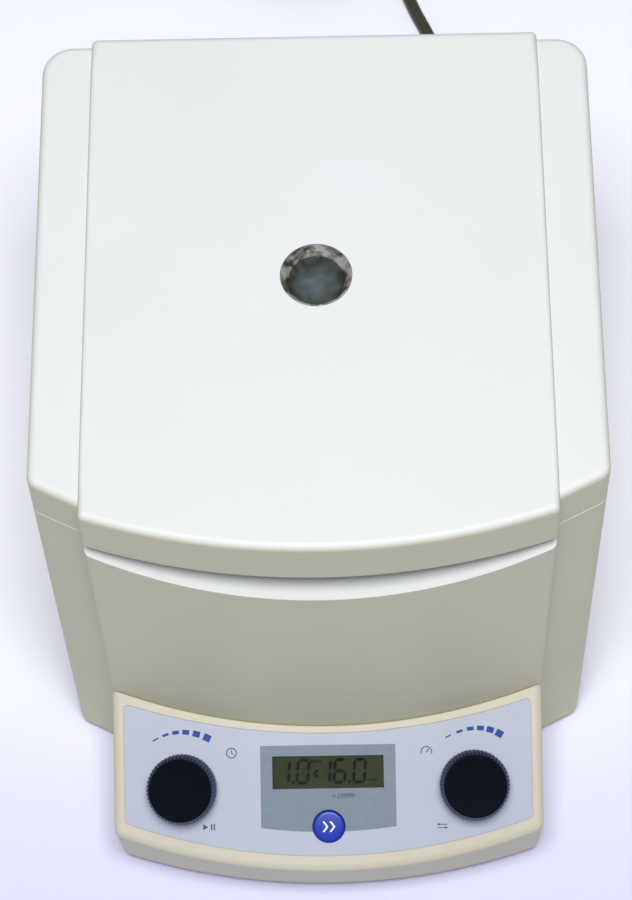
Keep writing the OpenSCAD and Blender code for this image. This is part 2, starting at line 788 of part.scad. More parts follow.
module latch_frame() {
    color("silver") {
        translate([-12, band_front + wall + 0.5, pawl_z - 12]) cube([24, 1.5, 20]);
        for (x = [-8, 6]) translate([x, band_front + wall + 0.5, pawl_z - 6])
            cube([2, 14, 12]);
    }
    color("gray") x_rod(2, -8, 8, pawl_y, pawl_z);
}

module latch_pawl() {
    low = pawl_z - pawl_reach - 4;
    color("dimgray") difference() {
        union() {
            translate([-4.5, pawl_y - 1.8, low]) cube([9, 3.6, pawl_top - low]);
            translate([-4.5, pawl_y, pawl_top - 3.5]) cube([9, 4.2, 3.5]);
            x_rod(4, -4.5, 4.5, pawl_y, pawl_z);
        }
        x_rod(2.05, -10, 10, pawl_y, pawl_z);
    }
}

module latch_solenoid() {
    z = pawl_z - pawl_reach;
    color("peru") difference() {
        translate([-10, pawl_y + 8, z - 8]) cube([20, 20, 15.6]);
        y_rod(3.8, pawl_y, pawl_y + 26, 0, z);
    }
}

module latch_plunger() {
    z = pawl_z - pawl_reach;
    color("silver") y_rod(3.5, pawl_y + 2.6, pawl_y + 24, 0, z);
}

// ---------------------------------------------------------------- mains lead

// Connector in the inlet, with its tapered strain relief
module mains_connector() {
    body_end = 152;
    color("black") {
        difference() {
            translate([inlet[0] - 12, panel_y - 16, inlet[1] - 8]) cube([24, 19, 16]);
            for (p = [[-7, -2], [7, -2], [0, 2]])
                translate([inlet[0] + p[0] - 2.2, panel_y - 18, inlet[1] + p[1] - 1.2])
                    cube([4.4, 16, 2.4]);
        }
        translate([inlet[0] - 13.5, panel_y + 2.6, inlet[1] - 9.5])
            cube([27, body_end - panel_y - 2.6, 19]);
        translate([inlet[0], relief_end, inlet[1]]) rotate([90, 0, 0])
            cylinder(r1 = cord_d / 2 + 0.4, r2 = 8, h = relief_end - body_end, $fn = small);
    }
}

// Sweeps a tube of the given sides along the points
module sweep(points, r, sides) {
    last = len(points) - 1;
    tangents = [for (i = [0:last]) let (d = points[min(i + 1, last)] - points[max(i - 1, 0)])
        d / norm(d)];
    ring = [for (i = [0:last]) let (t = tangents[i],
            u0 = cross([0, 0, 1], t), u = u0 / norm(u0), v = cross(t, u))
        for (k = [0:sides - 1]) points[i]
            + r * (cos(360 * k / sides) * u + sin(360 * k / sides) * v)];
    walls = [for (i = [0:last - 1]) for (k = [0:sides - 1]) let (j = (k + 1) % sides)
        [i * sides + k, (i + 1) * sides + k, (i + 1) * sides + j, i * sides + j]];
    caps = [[for (k = [0:sides - 1]) k], [for (k = [0:sides - 1]) last * sides + sides - 1 - k]];
    polyhedron(points = ring, faces = concat(walls, caps), convexity = 4);
}

module mains_cord() {
    color("darkolivegreen") sweep(route, cord_d / 2, 10);
}

module cord_coil() {
    r1 = coil_turn_r + cord_d / 2 + 0.3;
    r0 = r1 - 4 * cord_d - 0.6;
    color("darkolivegreen") translate([coil_c[0], coil_c[1], coil_lift])
        rotate_extrude($fn = fine) translate([r0, 0]) square([r1 - r0, coil_h]);
}

// Strap round the coil's section on the side away from the plug
module cord_tie() {
    r1 = coil_turn_r + cord_d / 2 + 0.4;
    r0 = r1 - 4 * cord_d - 0.8;
    color("black") translate([coil_c[0], coil_c[1], 0]) rotate([0, 0, 300]) difference() {
        translate([r0 - 0.8, -5, 0]) cube([r1 - r0 + 1.6, 10, coil_lift + coil_h + 0.9]);
        translate([0, 0, coil_lift]) rotate_extrude($fn = fine)
            translate([r0 + 0.1, 0]) square([r1 - r0 - 0.2, coil_h]);
    }
}

module mains_plug() {
    x0 = coil_c[0] - 3;
    color("black") {
        translate([x0, plug_y, plug_z]) rotate([0, -90, 0])
            cylinder(r1 = cord_d / 2 + 0.4, r2 = 8, h = 28, $fn = small);
        translate([x0 - 60, plug_y - 12.5, plug_z - 11]) cube([33, 25, 22]);
        translate([x0 - 62, plug_y - 14, plug_z - 12]) cube([5, 28, 24]);
    }
}

module plug_pins() {
    x0 = coil_c[0] - 3 - 62;
    color("silver") {
        for (y = [-6.4, 6.4]) translate([x0 - 17, plug_y + y - 0.8, plug_z - 6.2])
            cube([17, 1.6, 6.4]);
        translate([x0 - 19, plug_y, plug_z + 6]) rotate([0, 90, 0])
            cylinder(r = 2.4, h = 19, $fn = small);
    }
}

base_plate();
case_screws();
feet();
housing();
rear_panel();
mains_inlet();
inlet_pins();
fuse_drawer();
switch_frame();
power_rocker();
chamber_bowl();
bowl_gasket();
motor_can();
motor_stator();
shaft_bearings();
motor_mounts();
motor_frame();
drive_shaft();
motor_armature();
tube_rotor();
rotor_nut();
rotor_lid();
rotor_lid_knob();
power_board();
transformer();
control_board();
time_encoder();
speed_encoder();
time_actuator();
speed_actuator();
time_shaft();
speed_shaft();
time_knob();
speed_knob();
lcd_display();
display_window();
console();
panel_overlay();
short_button();
button_switch();
lid_shell();
lid_liner();
lid_screws();
port_ring();
port_lens();
lid_hook();
hinge_arms();
hinge_pins();
hinge_brackets();
hinge_springs();
latch_frame();
latch_pawl();
latch_solenoid();
latch_plunger();
mains_connector();
mains_cord();
cord_coil();
cord_tie();
mains_plug();
plug_pins();
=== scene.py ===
import json
import math

import bmesh
import bpy
from mathutils import Matrix, Vector


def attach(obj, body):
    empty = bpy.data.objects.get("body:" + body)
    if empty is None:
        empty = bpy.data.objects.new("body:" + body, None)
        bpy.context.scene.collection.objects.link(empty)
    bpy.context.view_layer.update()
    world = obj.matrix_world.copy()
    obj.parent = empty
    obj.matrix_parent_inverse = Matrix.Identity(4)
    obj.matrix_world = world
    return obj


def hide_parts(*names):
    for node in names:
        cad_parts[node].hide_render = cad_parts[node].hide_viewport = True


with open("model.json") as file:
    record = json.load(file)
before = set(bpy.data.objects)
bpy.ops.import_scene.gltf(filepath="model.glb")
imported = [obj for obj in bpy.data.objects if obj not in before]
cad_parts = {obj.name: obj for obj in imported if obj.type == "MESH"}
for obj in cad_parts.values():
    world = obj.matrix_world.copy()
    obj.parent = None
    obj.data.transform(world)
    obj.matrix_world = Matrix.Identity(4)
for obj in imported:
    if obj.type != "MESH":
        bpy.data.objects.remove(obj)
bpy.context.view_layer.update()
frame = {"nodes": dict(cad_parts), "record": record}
nodes = frame["nodes"]

MM = 0.001
sin, cos, pi = math.sin, math.cos, math.pi
rad = math.radians

# ------------------------------------------------------------------ sizes, as in the part
BODY_H = 229.0
HALF_W, BAND_HW, BULGE = 105.0, 86.0, 14.3
WALL, FOOT_H, SEAM_Z = 3.0, 5.0, 204.5
DECK_Z, LID_Z, WING_TOP = 204.1, 204.9, 226.7
FRONT_Y, BACK_Y = -143.0, 130.5
BAND_FRONT, BAND_SIDE, BAND_CORNER = -90.3, -76.0, 2.2
BULGE_R = (BAND_HW**2 + BULGE**2) / (2 * BULGE)
WING_FRONT, WING_BACK, WING_ANGLE = -70.3, 128.5, 27.0
WING_R, BACK_R = 6.0, 12.0
ROTOR_Y = 22.0
PANEL_TILT, PANEL_TOP = 25.3, 72.7
KNOB_X, KNOB_S, KNOB_HOLE = 58.4, 40.4, 4.8
BUTTON_S, BUTTON_R = 56.5, 6.3
BUTTON_HOLE = BUTTON_R + 0.35
LCD_HW, LCD_S = 22.3, (28.3, 41.4)
HINGE_X, HINGE_GAP = 55.0, 8.5
SCOOP_ANGLE, SCOOP_Z, SCOOP_REACH = 39.4, SEAM_Z - 7.2, 8.0
SCOOP_BACK = WING_FRONT - 1.2
CONSOLE_SETBACK, CONSOLE_FOOT, CONSOLE_WALL, PANEL_WALL = 6.7, 7.0, 2.5, 3.3
PORT_HOLE, CHAMBER_HOLE, DECK_T = 13.4, 90.2, 4.0
HOOK_SLOT = (-9, -75.8, 195), (9, -71.1, 210)
REAR_OPENING = (-66, 20), (74, 82)
PANEL_Y = 127.5
INLET = (56.0, 44.0)
COIL_C, COIL_R = (-9.0, 358.0), 45
PLUG_AT = (COIL_C[0] - 3, COIL_C[1] + COIL_R, 12)

# ------------------------------------------------------------------ camera
LENS_PX, CAM_D = 3025.0728, 1230.0338
CAM_AZ, CAM_EL, CAM_ROLL = rad(1.8835), rad(62.5891), rad(-2.6678)
CAM_SIDE, CAM_RISE = -2.8669, 0.3854
CAM_AIM = Vector((0, 15.45, 100))
FRAME_PX, SENSOR = 900, 36


def make_camera():
    back = Vector(
        (sin(CAM_AZ) * cos(CAM_EL), -cos(CAM_AZ) * cos(CAM_EL), sin(CAM_EL))
    )
    level = Vector((cos(CAM_AZ), sin(CAM_AZ), 0))
    upright = back.cross(level)
    right = cos(CAM_ROLL) * level + sin(CAM_ROLL) * upright
    up = -sin(CAM_ROLL) * level + cos(CAM_ROLL) * upright
    place = CAM_AIM + back * CAM_D + right * CAM_SIDE + up * CAM_RISE
    data = bpy.data.cameras.new("camera")
    data.sensor_width = SENSOR
    data.lens = LENS_PX / FRAME_PX * SENSOR
    data.clip_start, data.clip_end = 0.05, 20
    cam = bpy.data.objects.new("camera", data)
    m = Matrix((right, up, back)).transposed().to_4x4()
    m.translation = place * MM
    cam.matrix_world = m
    bpy.context.scene.collection.objects.link(cam)
    bpy.context.scene.camera = cam


make_camera()


# ------------------------------------------------------------------ mains lead
def smooth_line(points, steps):
    """A smooth curve through the points, with several points for each stretch."""
    p = [2 * points[0] - points[1]] + points + [2 * points[-1] - points[-2]]
    line = []
    for i in range(1, len(p) - 2):
        for k in range(steps):
            t = k / steps
            a = 2 * p[i]
            b = (p[i + 1] - p[i - 1]) * t
            c = (2 * p[i - 1] - 5 * p[i] + 4 * p[i + 1] - p[i + 2]) * t * t
            d = (3 * p[i] - p[i - 1] - 3 * p[i + 1] + p[i + 2]) * t**3
            line.append((a + b + c + d) / 2)
    return line + [points[-1]]


CORD_R = 3.0
ROUTE = [
    (56, 186, 44), (56, 198, 44), (56, 210, 42), (56, 221, 36.5), (56, 230, 28),
    (56, 239, 18), (56, 249, 9.5), (56, 261, 4.5), (55, 274, 3), (51, 287, 3),
    (45.5, 300, 3), (41, 313, 3), (38, 327, 3), (36.5, 342, 3.4), (36, 358, 3.8),
]


def coil_points():
    """Three turns inwards on the floor, one rising, three outwards on top, a quarter out."""
    points, per_turn = [], 36
    for i in range(1, int(7.25 * per_turn) + 1):
        turn = i / per_turn
        if turn <= 3:
            r, z = COIL_R - 6 * turn, 3.8
        elif turn <= 4:
            t = turn - 3
            r, z = 27, 3.8 + 6 * math.sqrt(2 * t - t * t)
        elif turn <= 7:
            r, z = 27 + 6 * (turn - 4), 9.8
        else:
            t = (turn - 7) * 4
            r, z = COIL_R, 9.8 + 2.2 * t * t * (3 - 2 * t)
        a = 2 * pi * turn
        points.append(Vector((COIL_C[0] + r * cos(a), COIL_C[1] + r * sin(a), z)))
    return points + [Vector(PLUG_AT)]


def make_cord():
    line = smooth_line([Vector(p) for p in ROUTE], 4) + coil_points()
    data = bpy.data.curves.new("mains_lead", "CURVE")
    data.dimensions = "3D"
    data.bevel_depth = CORD_R * MM
    data.bevel_resolution = 5
    data.use_fill_caps = True
    spline = data.splines.new("POLY")
    spline.points.add(len(line) - 1)
    for p, q in zip(spline.points, line):
        p.co = (*(q * MM), 1)
    spline.use_smooth = True
    lead = bpy.data.objects.new("mains_lead", data)
    bpy.context.scene.collection.objects.link(lead)
    return lead


lead = make_cord()


# ------------------------------------------------------------------ mesh helpers
def link(name, mesh):
    obj = bpy.data.objects.new(name, mesh)
    bpy.context.scene.collection.objects.link(obj)
    return obj


def make(name, verts, faces, angle=32):
    """A mesh object from points in millimetres."""
    mesh = bpy.data.meshes.new(name)
    mesh.from_pydata([Vector(v) * MM for v in verts], [], faces)
    bm = bmesh.new()
    bm.from_mesh(mesh)
    bmesh.ops.remove_doubles(bm, verts=bm.verts, dist=1e-7)
    bmesh.ops.recalc_face_normals(bm, faces=bm.faces)
    bm.to_mesh(mesh)
    bm.free()
    obj = link(name, mesh)
    shade(obj, angle)
    return obj


def shade(obj, angle=32):
    mesh = obj.data
    mesh.polygons.foreach_set("use_smooth", [True] * len(mesh.polygons))
    mesh.set_sharp_from_angle(angle=rad(angle))


def loft(rings, caps=True):
    """Points and faces of a skin through closed rings with the same number of points."""
    n = len(rings[0])
    verts = [p for ring in rings for p in ring]
    faces = []
    for i in range(len(rings) - 1):
        for k in range(n):
            j = (k + 1) % n
            faces.append((i * n + k, i * n + j, (i + 1) * n + j, (i + 1) * n + k))
    if caps:
        faces.append(tuple(reversed(range(n))))
        faces.append(tuple(range((len(rings) - 1) * n, len(rings) * n)))
    return verts, faces


def prism(points, z0, z1):
    return loft([[(*p, z0) for p in points], [(*p, z1) for p in points]])


def mirrored(shape):
    verts, faces = shape
    return [(-x, y, z) for x, y, z in verts], [tuple(reversed(f)) for f in faces]


def placed(shape, matrix):
    verts, faces = shape
    return [tuple(matrix @ Vector(v)) for v in verts], faces


def joined(*parts):
    """Several (points, faces) as one."""
    verts, faces = [], []
    for v, f in parts:
        base = len(verts)
        verts += v
        faces += [tuple(i + base for i in face) for face in f]
    return verts, faces


def spun(profile, steps, centre=(0, 0), closed=False):
    """A profile of (radius, height) turned about a vertical axis."""
    rings = []
    for k in range(steps):
        a = 2 * pi * k / steps
        rings.append(
            [(centre[0] + r * cos(a), centre[1] + r * sin(a), z) for r, z in profile]
        )
    n = len(profile)
    verts = [p for ring in rings for p in ring]
    faces = []
    for k in range(steps):
        m = (k + 1) % steps
        for i in range(n if closed else n - 1):
            j = (i + 1) % n
            faces.append((k * n + i, m * n + i, m * n + j, k * n + j))
    if not closed:
        for i, flip in ((0, False), (n - 1, True)):
            if profile[i][0] > 1e-6:
                ring = [k * n + i for k in range(steps)]
                faces.append(tuple(ring if flip else reversed(ring)))
    return verts, faces


def arc(cx, cy, r, a0, a1, n):
    return [
        (cx + r * cos(rad(a0 + (a1 - a0) * i / n)), cy + r * sin(rad(a0 + (a1 - a0) * i / n)))
        for i in range(n + 1)
    ]


def rounded(points, radius, segments=6):
    """A closed outline with its corners rounded: radius is one number or one per corner."""
    n = len(points)
    radii = radius if hasattr(radius, "__len__") else [radius] * n
    out = []
    for i in range(n):
        p = Vector(points[i])
        a, b = Vector(points[i - 1]) - p, Vector(points[(i + 1) % n]) - p
        la, lb = a.length, b.length
        a, b = a / la, b / lb
        half = math.acos(max(-1, min(1, a.dot(b)))) / 2
        r = radii[i]
        if r <= 0 or half > rad(89.5):
            out.append(tuple(p))
            continue
        cut = min(r / math.tan(half), la * 0.49, lb * 0.49)
        r = cut * math.tan(half)
        centre = p + (a + b).normalized() * (r / sin(half))
        s, e = p + a * cut - centre, p + b * cut - centre
        turn = math.atan2(s.x * e.y - s.y * e.x, s.dot(e))
        for k in range(segments + 1):
            t = turn * k / segments
            out.append(
                (centre.x + s.x * cos(t) - s.y * sin(t), centre.y + s.x * sin(t) + s.y * cos(t))
            )
    return out


def boolean(obj, other, how="DIFFERENCE"):
    """Cuts obj with the other, or joins or intersects them, and removes the other."""
    mod = obj.modifiers.new("cut", "BOOLEAN")
    mod.object, mod.operation, mod.solver = other, how, "EXACT"
    bpy.context.view_layer.update()
    dg = bpy.context.evaluated_depsgraph_get()
    mesh = bpy.data.meshes.new_from_object(obj.evaluated_get(dg))
    obj.modifiers.clear()
    old = obj.data
    obj.data = mesh
    bpy.data.meshes.remove(old)
    data = other.data
    bpy.data.objects.remove(other)
    bpy.data.meshes.remove(data)
    shade(obj)
    return obj


def united(obj, *shapes):
    """Joins each (points, faces) to obj."""
    for shape in shapes:
        boolean(obj, make("cutter", *shape), "UNION")


def cutter(points, z0, z1):
    """A cutter prism along Z."""
    return make("cutter", *prism(points, z0, z1))


def block(lo, hi):
    """A cutter box."""
    ring = [(lo[0], lo[1]), (hi[0], lo[1]), (hi[0], hi[1]), (lo[0], hi[1])]
    return cutter(ring, lo[2], hi[2])


def drum(r, z0, z1, centre, steps=96):
    """A cutter cylinder along Z."""
    return cutter(arc(*centre, r, 0, 360, steps)[:-1], z0, z1)


def on_panel(obj):
    """Turns a piece made in the panel's own frame into the object's frame."""
    obj.data.transform(
        Matrix.Translation(Vector((0, BAND_SIDE, PANEL_TOP)) * MM)
        @ Matrix.Rotation(rad(PANEL_TILT), 4, "X")
    )
    return obj


# ------------------------------------------------------------------ outlines of the covers
def split(a, b, parts):
    """The points strictly between a and b."""
    return [
        (a[0] + (b[0] - a[0]) * i / parts, a[1] + (b[1] - a[1]) * i / parts)
        for i in range(1, parts)
    ]


def band_outline(d):
    """The middle band drawn in by d, anticlockwise from its front left corner."""
    hw, r = BAND_HW - d, BULGE_R - d
    span = math.degrees(math.asin(hw / r))
    front = arc(0, BAND_FRONT + BULGE_R, r, 270 - span, 270 + span, 48)
    c = max(BAND_CORNER - d, 0.3)
    raw = front + [(hw, BACK_Y - d), (-hw, BACK_Y - d)]
    radii = [c] + [0] * 47 + [c, c, c]
    p = rounded(raw, radii, 5)
    fronts, back_right, back_left = p[:59], p[59:65], p[65:71]
    return (
        fronts
        + split(fronts[-1], back_right[0], 16)
        + back_right
        + split(back_right[-1], back_left[0], 8)
        + back_left
        + split(back_left[-1], fronts[0], 16)
    )


def wing_outline(d, root=3.0):
    """The right wing drawn in by d, with its root hidden inside the band."""
    x0, slant = HALF_W - WING_R, rad(WING_ANGLE)
    cy = WING_FRONT + ((x0 - BAND_HW) * sin(slant) + WING_R) / cos(slant)
    root_x = BAND_HW - root
    root_y = cy + ((root_x - x0) * sin(slant) - WING_R + d) / cos(slant)
    corner = arc(x0, cy, WING_R - d, WING_ANGLE - 90, 0, 8)
    back = arc(HALF_W - BACK_R, WING_BACK - BACK_R, BACK_R - d, 0, 90, 12)
    return (
        [(root_x, root_y)]
        + corner
        + split(corner[-1], back[0], 12)
        + back
        + [(root_x, WING_BACK - d)]
    )


def edged(outline, z0, z1, low, high, steps=6):
    """A prism on the outline with rounded lower and upper edges.

    low and high are radii, or functions that give a radius at each point."""
    base = outline(0)

    def ring(angle, z, sign, radius):
        if not callable(radius):
            d = radius * (1 - cos(angle))
            return [(*p, z + sign * radius * (1 - sin(angle))) for p in outline(d)]
        points = []
        for i, at in enumerate(base):
            r = radius(at)
            p = outline(r * (1 - cos(angle)))[i]
            points.append((*p, z + sign * r * (1 - sin(angle))))
        return points

    rings = [ring(pi / 2 * (1 - k / steps), z0, 1, low) for k in range(steps + 1)]
    rings += [ring(pi / 2 * k / steps, z1, -1, high) for k in range(steps + 1)]
    return loft(rings)


def blend_step(x):
    x = max(0.0, min(1.0, x))
    return x * x * (3 - 2 * x)


def cover(name, z0, z1_band, z1_wing, low, high_band, high_wing, cavity, inner_cut=None):
    """Band and two wings as one moulding, hollow from below up to the height cavity."""
    body = make(name, *edged(band_outline, z0, z1_band, low, high_band))
    wing = edged(wing_outline, z0, z1_wing, low, high_wing)
    united(body, wing, mirrored(wing))
    hollow = cutter(band_outline(WALL), z0 - 5, cavity)
    inner_wing = prism(wing_outline(WALL, 8), z0 - 5, cavity)
    united(hollow, inner_wing, mirrored(inner_wing))
    if inner_cut:
        boolean(hollow, inner_cut)
    boolean(body, hollow)
    return body


def scoop(depth):
    """A cutter for the finger scoop under the lid: a sloping floor below a curved back."""
    obj = block((-BAND_HW - 1, FRONT_Y, 150), (BAND_HW + 1, SCOOP_BACK + depth, 230))
    slope = block((-HALF_W, -60, -depth), (HALF_W, 30, 90))
    slope.data.transform(
        Matrix.Translation(Vector((0, BAND_SIDE, SCOOP_Z)) * MM)
        @ Matrix.Rotation(rad(SCOOP_ANGLE), 4, "X")
    )
    boolean(obj, slope, "INTERSECT")
    radius = BULGE_R - SCOOP_REACH - depth
    return boolean(obj, drum(radius, 100, 250, (0, BAND_FRONT + BULGE_R), 360))


# ------------------------------------------------------------------ lid and housing
def lid_edge(p):
    """Radius of the lid's upper edge: soft in front, tighter along the step to the wings."""
    front = blend_step((-58 - p[1]) / 16)
    back = blend_step((p[1] - 112) / 14)
    return 1.7 + 1.2 * front + 1.6 * back


lid = cover("lid_cover", LID_Z, BODY_H, WING_TOP, 0.5, lid_edge, 3.2, WING_TOP - WALL)
boolean(lid, drum(PORT_HOLE, 200, 240, (0, ROTOR_Y)))
for x in (-HINGE_X, HINGE_X):
    boolean(lid, block((x - HINGE_GAP, BACK_Y - WALL - 1, LID_Z - 2),
                       (x + HINGE_GAP, BACK_Y + 2, LID_Z + 10)))
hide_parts("lid_shell")

housing = cover(
    "housing_cover", FOOT_H, DECK_Z, DECK_Z, 0.5, 0.7, 0.9, DECK_Z - DECK_T, scoop(WALL)
)
boolean(housing, scoop(0))
boolean(housing, drum(CHAMBER_HOLE, 195, 210, (0, ROTOR_Y), 128))
boolean(housing, block(*HOOK_SLOT))
(left, low), (right, high) = REAR_OPENING
boolean(housing, block((left, BACK_Y - WALL - 1, low), (right, BACK_Y + 1, high)))
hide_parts("housing")


# ------------------------------------------------------------------ console
def line_cut(p, u, q, v):
    """Where the line through p along u meets the line through q along v."""
    det = u[0] * v[1] - u[1] * v[0]
    t = ((q[0] - p[0]) * v[1] - (q[1] - p[1]) * v[0]) / det
    return (p[0] + u[0] * t, p[1] + u[1] * t)


def drawn_in(points, by):
    """An anticlockwise outline with each edge moved inwards by its own distance."""
    n = len(points)
    lines = []
    for i in range(n):
        a, b = points[i], points[(i + 1) % n]
        dx, dy = b[0] - a[0], b[1] - a[1]
        size = math.hypot(dx, dy)
        lines.append(((a[0] - dy / size * by[i], a[1] + dx / size * by[i]), (dx, dy)))
    return [line_cut(*lines[i - 1], *lines[i]) for i in range(n)]


def panel_z(y):
    return PANEL_TOP + (y - BAND_SIDE) * math.tan(rad(PANEL_TILT))


def console_outline(x):
    """The console's sharp outline at a distance x from the middle, as (y, z) points."""
    back = BAND_FRONT + BULGE_R - math.sqrt((BULGE_R + 0.1) ** 2 - x * x)
    radii = BULGE_R, BULGE_R - CONSOLE_SETBACK
    front, foot = (FRONT_Y + BULGE_R - math.sqrt(r**2 - x * x) for r in radii)
    low = CONSOLE_FOOT
    return [(back, low), (back, panel_z(back)), (front, panel_z(front)), (foot, low)]


def console_section(x, d):
    """The console's outline drawn in by d, with its corners rounded."""
    p = drawn_in(console_outline(x), [0, d, d, d])
    return rounded(p, [0.3, 0.8, max(3.2 - d * 0.6, 0.4), 1.6], 7)


def console_shape():
    """The console's skin, rounded over at both ends."""
    edge = 2.8
    turns = [pi / 2 * k / 7 for k in range(8)]
    stations = [(-BAND_HW + edge * (1 - cos(a)), edge * (1 - sin(a))) for a in turns]
    inner = [(-BAND_HW + edge + (2 * (BAND_HW - edge)) * k / 40, 0) for k in range(1, 40)]
    stations = stations + inner + [(-x, d) for x, d in reversed(stations)]
    rings = [[(x, y, z) for y, z in console_section(x, d)] for x, d in stations]
    return loft(rings)


OVERLAY_HW, OVERLAY_TOP, OVERLAY_LOW = 81.6, 19.3, 68.3
OVERLAY_BED, OVERLAY_FACE, OVERLAY_CORNER = -0.8, -0.3, 2.0


def overlay_outline(d):
    """The printed overlay's outline on the panel, drawn in by d."""
    hw = OVERLAY_HW - d
    top_r, low_r = 260, 241
    top_span = math.degrees(math.asin(hw / top_r))
    low_span = math.degrees(math.asin(hw / low_r))
    top = arc(0, -OVERLAY_TOP + top_r - d, top_r, 270 + top_span, 270 - top_span, 32)
    low = arc(0, -OVERLAY_LOW + low_r + d, low_r, 270 - low_span, 270 + low_span, 32)
    c = max(OVERLAY_CORNER - d, 0.2)
    radii = [c] + [0] * 31 + [c, c] + [0] * 31 + [c]
    return rounded(low + top, radii, 6)


def console_hollow():
    """The space inside the console, one wall thickness in from its skin."""
    walls = [CONSOLE_WALL, PANEL_WALL, CONSOLE_WALL, CONSOLE_WALL]
    rings = []
    for k in range(25):
        x = (BAND_HW - CONSOLE_WALL) * (k / 12 - 1)
        rings.append([(x, y, z) for y, z in drawn_in(console_outline(x), walls)])
    return loft(rings)


def panel_opening(points):
    return cutter(points, -20, 10)


def square(x0, x1, s0, s1):
    """A rectangle on the panel."""
    return [(x0, -s1), (x1, -s1), (x1, -s0), (x0, -s0)]


def circle_on_panel(x, s, r, steps=64):
    return arc(x, -s, r, 0, 360, steps)[:-1]


console = make("console_cover", *console_shape(), angle=25)
boolean(console, make("cutter", *console_hollow()))
boolean(console, on_panel(cutter(overlay_outline(-0.12), OVERLAY_BED, 5)))
display_room = square(-LCD_HW - 2.7, LCD_HW + 2.7, LCD_S[0] - 1.9, LCD_S[1] + 1.9)
boolean(console, on_panel(panel_opening(display_room)))
boolean(console, on_panel(panel_opening(circle_on_panel(0, BUTTON_S, BUTTON_HOLE))))
for x in (-KNOB_X, KNOB_X):
    boolean(console, on_panel(panel_opening(circle_on_panel(x, KNOB_S, KNOB_HOLE))))
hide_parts("console")

overlay = make("overlay_sheet", *prism(overlay_outline(0.15), OVERLAY_BED, OVERLAY_FACE))
for x in (-KNOB_X, KNOB_X):
    boolean(overlay, panel_opening(circle_on_panel(x, KNOB_S, KNOB_HOLE)))
boolean(overlay, panel_opening(circle_on_panel(0, BUTTON_S, BUTTON_HOLE)))
boolean(overlay, panel_opening(square(-LCD_HW, LCD_HW, *LCD_S)))
on_panel(overlay)
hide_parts("panel_overlay")


# ------------------------------------------------------------------ print on the overlay
INK = OVERLAY_FACE - 0.02, OVERLAY_FACE + 0.04


def plate(points):
    """A printed shape, its foot just under the overlay's face."""
    return prism(points, *INK)


def ink(name, shapes):
    return on_panel(make(name, *joined(*shapes)))


SURROUND_HW, SURROUND_TOP = 27.1, -24.0
across = [-SURROUND_HW + 2 * SURROUND_HW * i / 16 for i in range(17)]
surround_edge = [(x, -58.7 + 1.9 * (x / SURROUND_HW) ** 2) for x in across]
surround_edge += [(SURROUND_HW, SURROUND_TOP), (-SURROUND_HW, SURROUND_TOP)]
surround = ink(
    "display_surround", [plate(rounded(surround_edge, [0.4] + [0] * 15 + [0.4] * 3, 3))]
)
boolean(surround, on_panel(panel_opening(circle_on_panel(0, BUTTON_S, BUTTON_HOLE))))
boolean(surround, on_panel(panel_opening(square(-LCD_HW, LCD_HW, *LCD_S))))


def growing_blocks(ends, middle):
    """Six marks along an arc, from a thin slanted dash to a large block."""
    shapes = []
    (x0, s0), (x1, s1), (xm, sm) = *ends, middle
    # the pull point of the curve that passes through middle
    px, ps = 2 * xm - (x0 + x1) / 2, 2 * sm - (s0 + s1) / 2
    for i in range(6):
        t = i / 5
        x = (1 - t) ** 2 * x0 + 2 * t * (1 - t) * px + t * t * x1
        s = (1 - t) ** 2 * s0 + 2 * t * (1 - t) * ps + t * t * s1
        dx = (1 - t) * (px - x0) + t * (x1 - px)
        ds = (1 - t) * (ps - s0) + t * (s1 - ps)
        a = math.atan2(-ds, dx)
        half_l, half_w = 1.25 + 0.25 * t, 0.28 + 1.15 * t
        corners = [(-half_l, -half_w), (half_l, -half_w), (half_l, half_w), (-half_l, half_w)]
        shapes.append(
            plate([(x + p * cos(a) - q * sin(a), -s + p * sin(a) + q * cos(a)) for p, q in corners])
        )
    return shapes


blocks = ink(
    "growing_blocks",
    growing_blocks([(-68.9, 20.8), (-48.3, 20.4)], (-58.8, 18.0))
    + growing_blocks([(48.3, 21.3), (68.8, 20.5)], (59.3, 18.2)),
)


def ring_plate(cx, cs, r0, r1, n=32, a0=0, a1=360):
    """A printed ring or part of one."""
    if a1 - a0 >= 360:
        outer, inner = (circle_on_panel(cx, cs, r, n) for r in (r1, r0))
        low, high = INK
        rims = ((outer, low), (outer, high), (inner, high), (inner, low))
        verts = [(*p, z) for ring, z in rims for p in ring]
        faces = []
        for i in range(4):
            j = (i + 1) % 4
            for k in range(n):
                m = (k + 1) % n
                faces.append((i * n + k, i * n + m, j * n + m, j * n + k))
        return verts, faces
    return plate(arc(cx, -cs, r1, a0, a1, n) + arc(cx, -cs, r0, a1, a0, n))


def bar(x0, s0, x1, s1, w):
    """A printed straight stroke."""
    dx, dy = x1 - x0, -(s1 - s0)
    size = math.hypot(dx, dy)
    px, py = -dy / size * w / 2, dx / size * w / 2
    return plate([
        (x0 + px, -s0 + py), (x0 - px, -s0 - py), (x1 - px, -s1 - py), (x1 + px, -s1 + py),
    ])


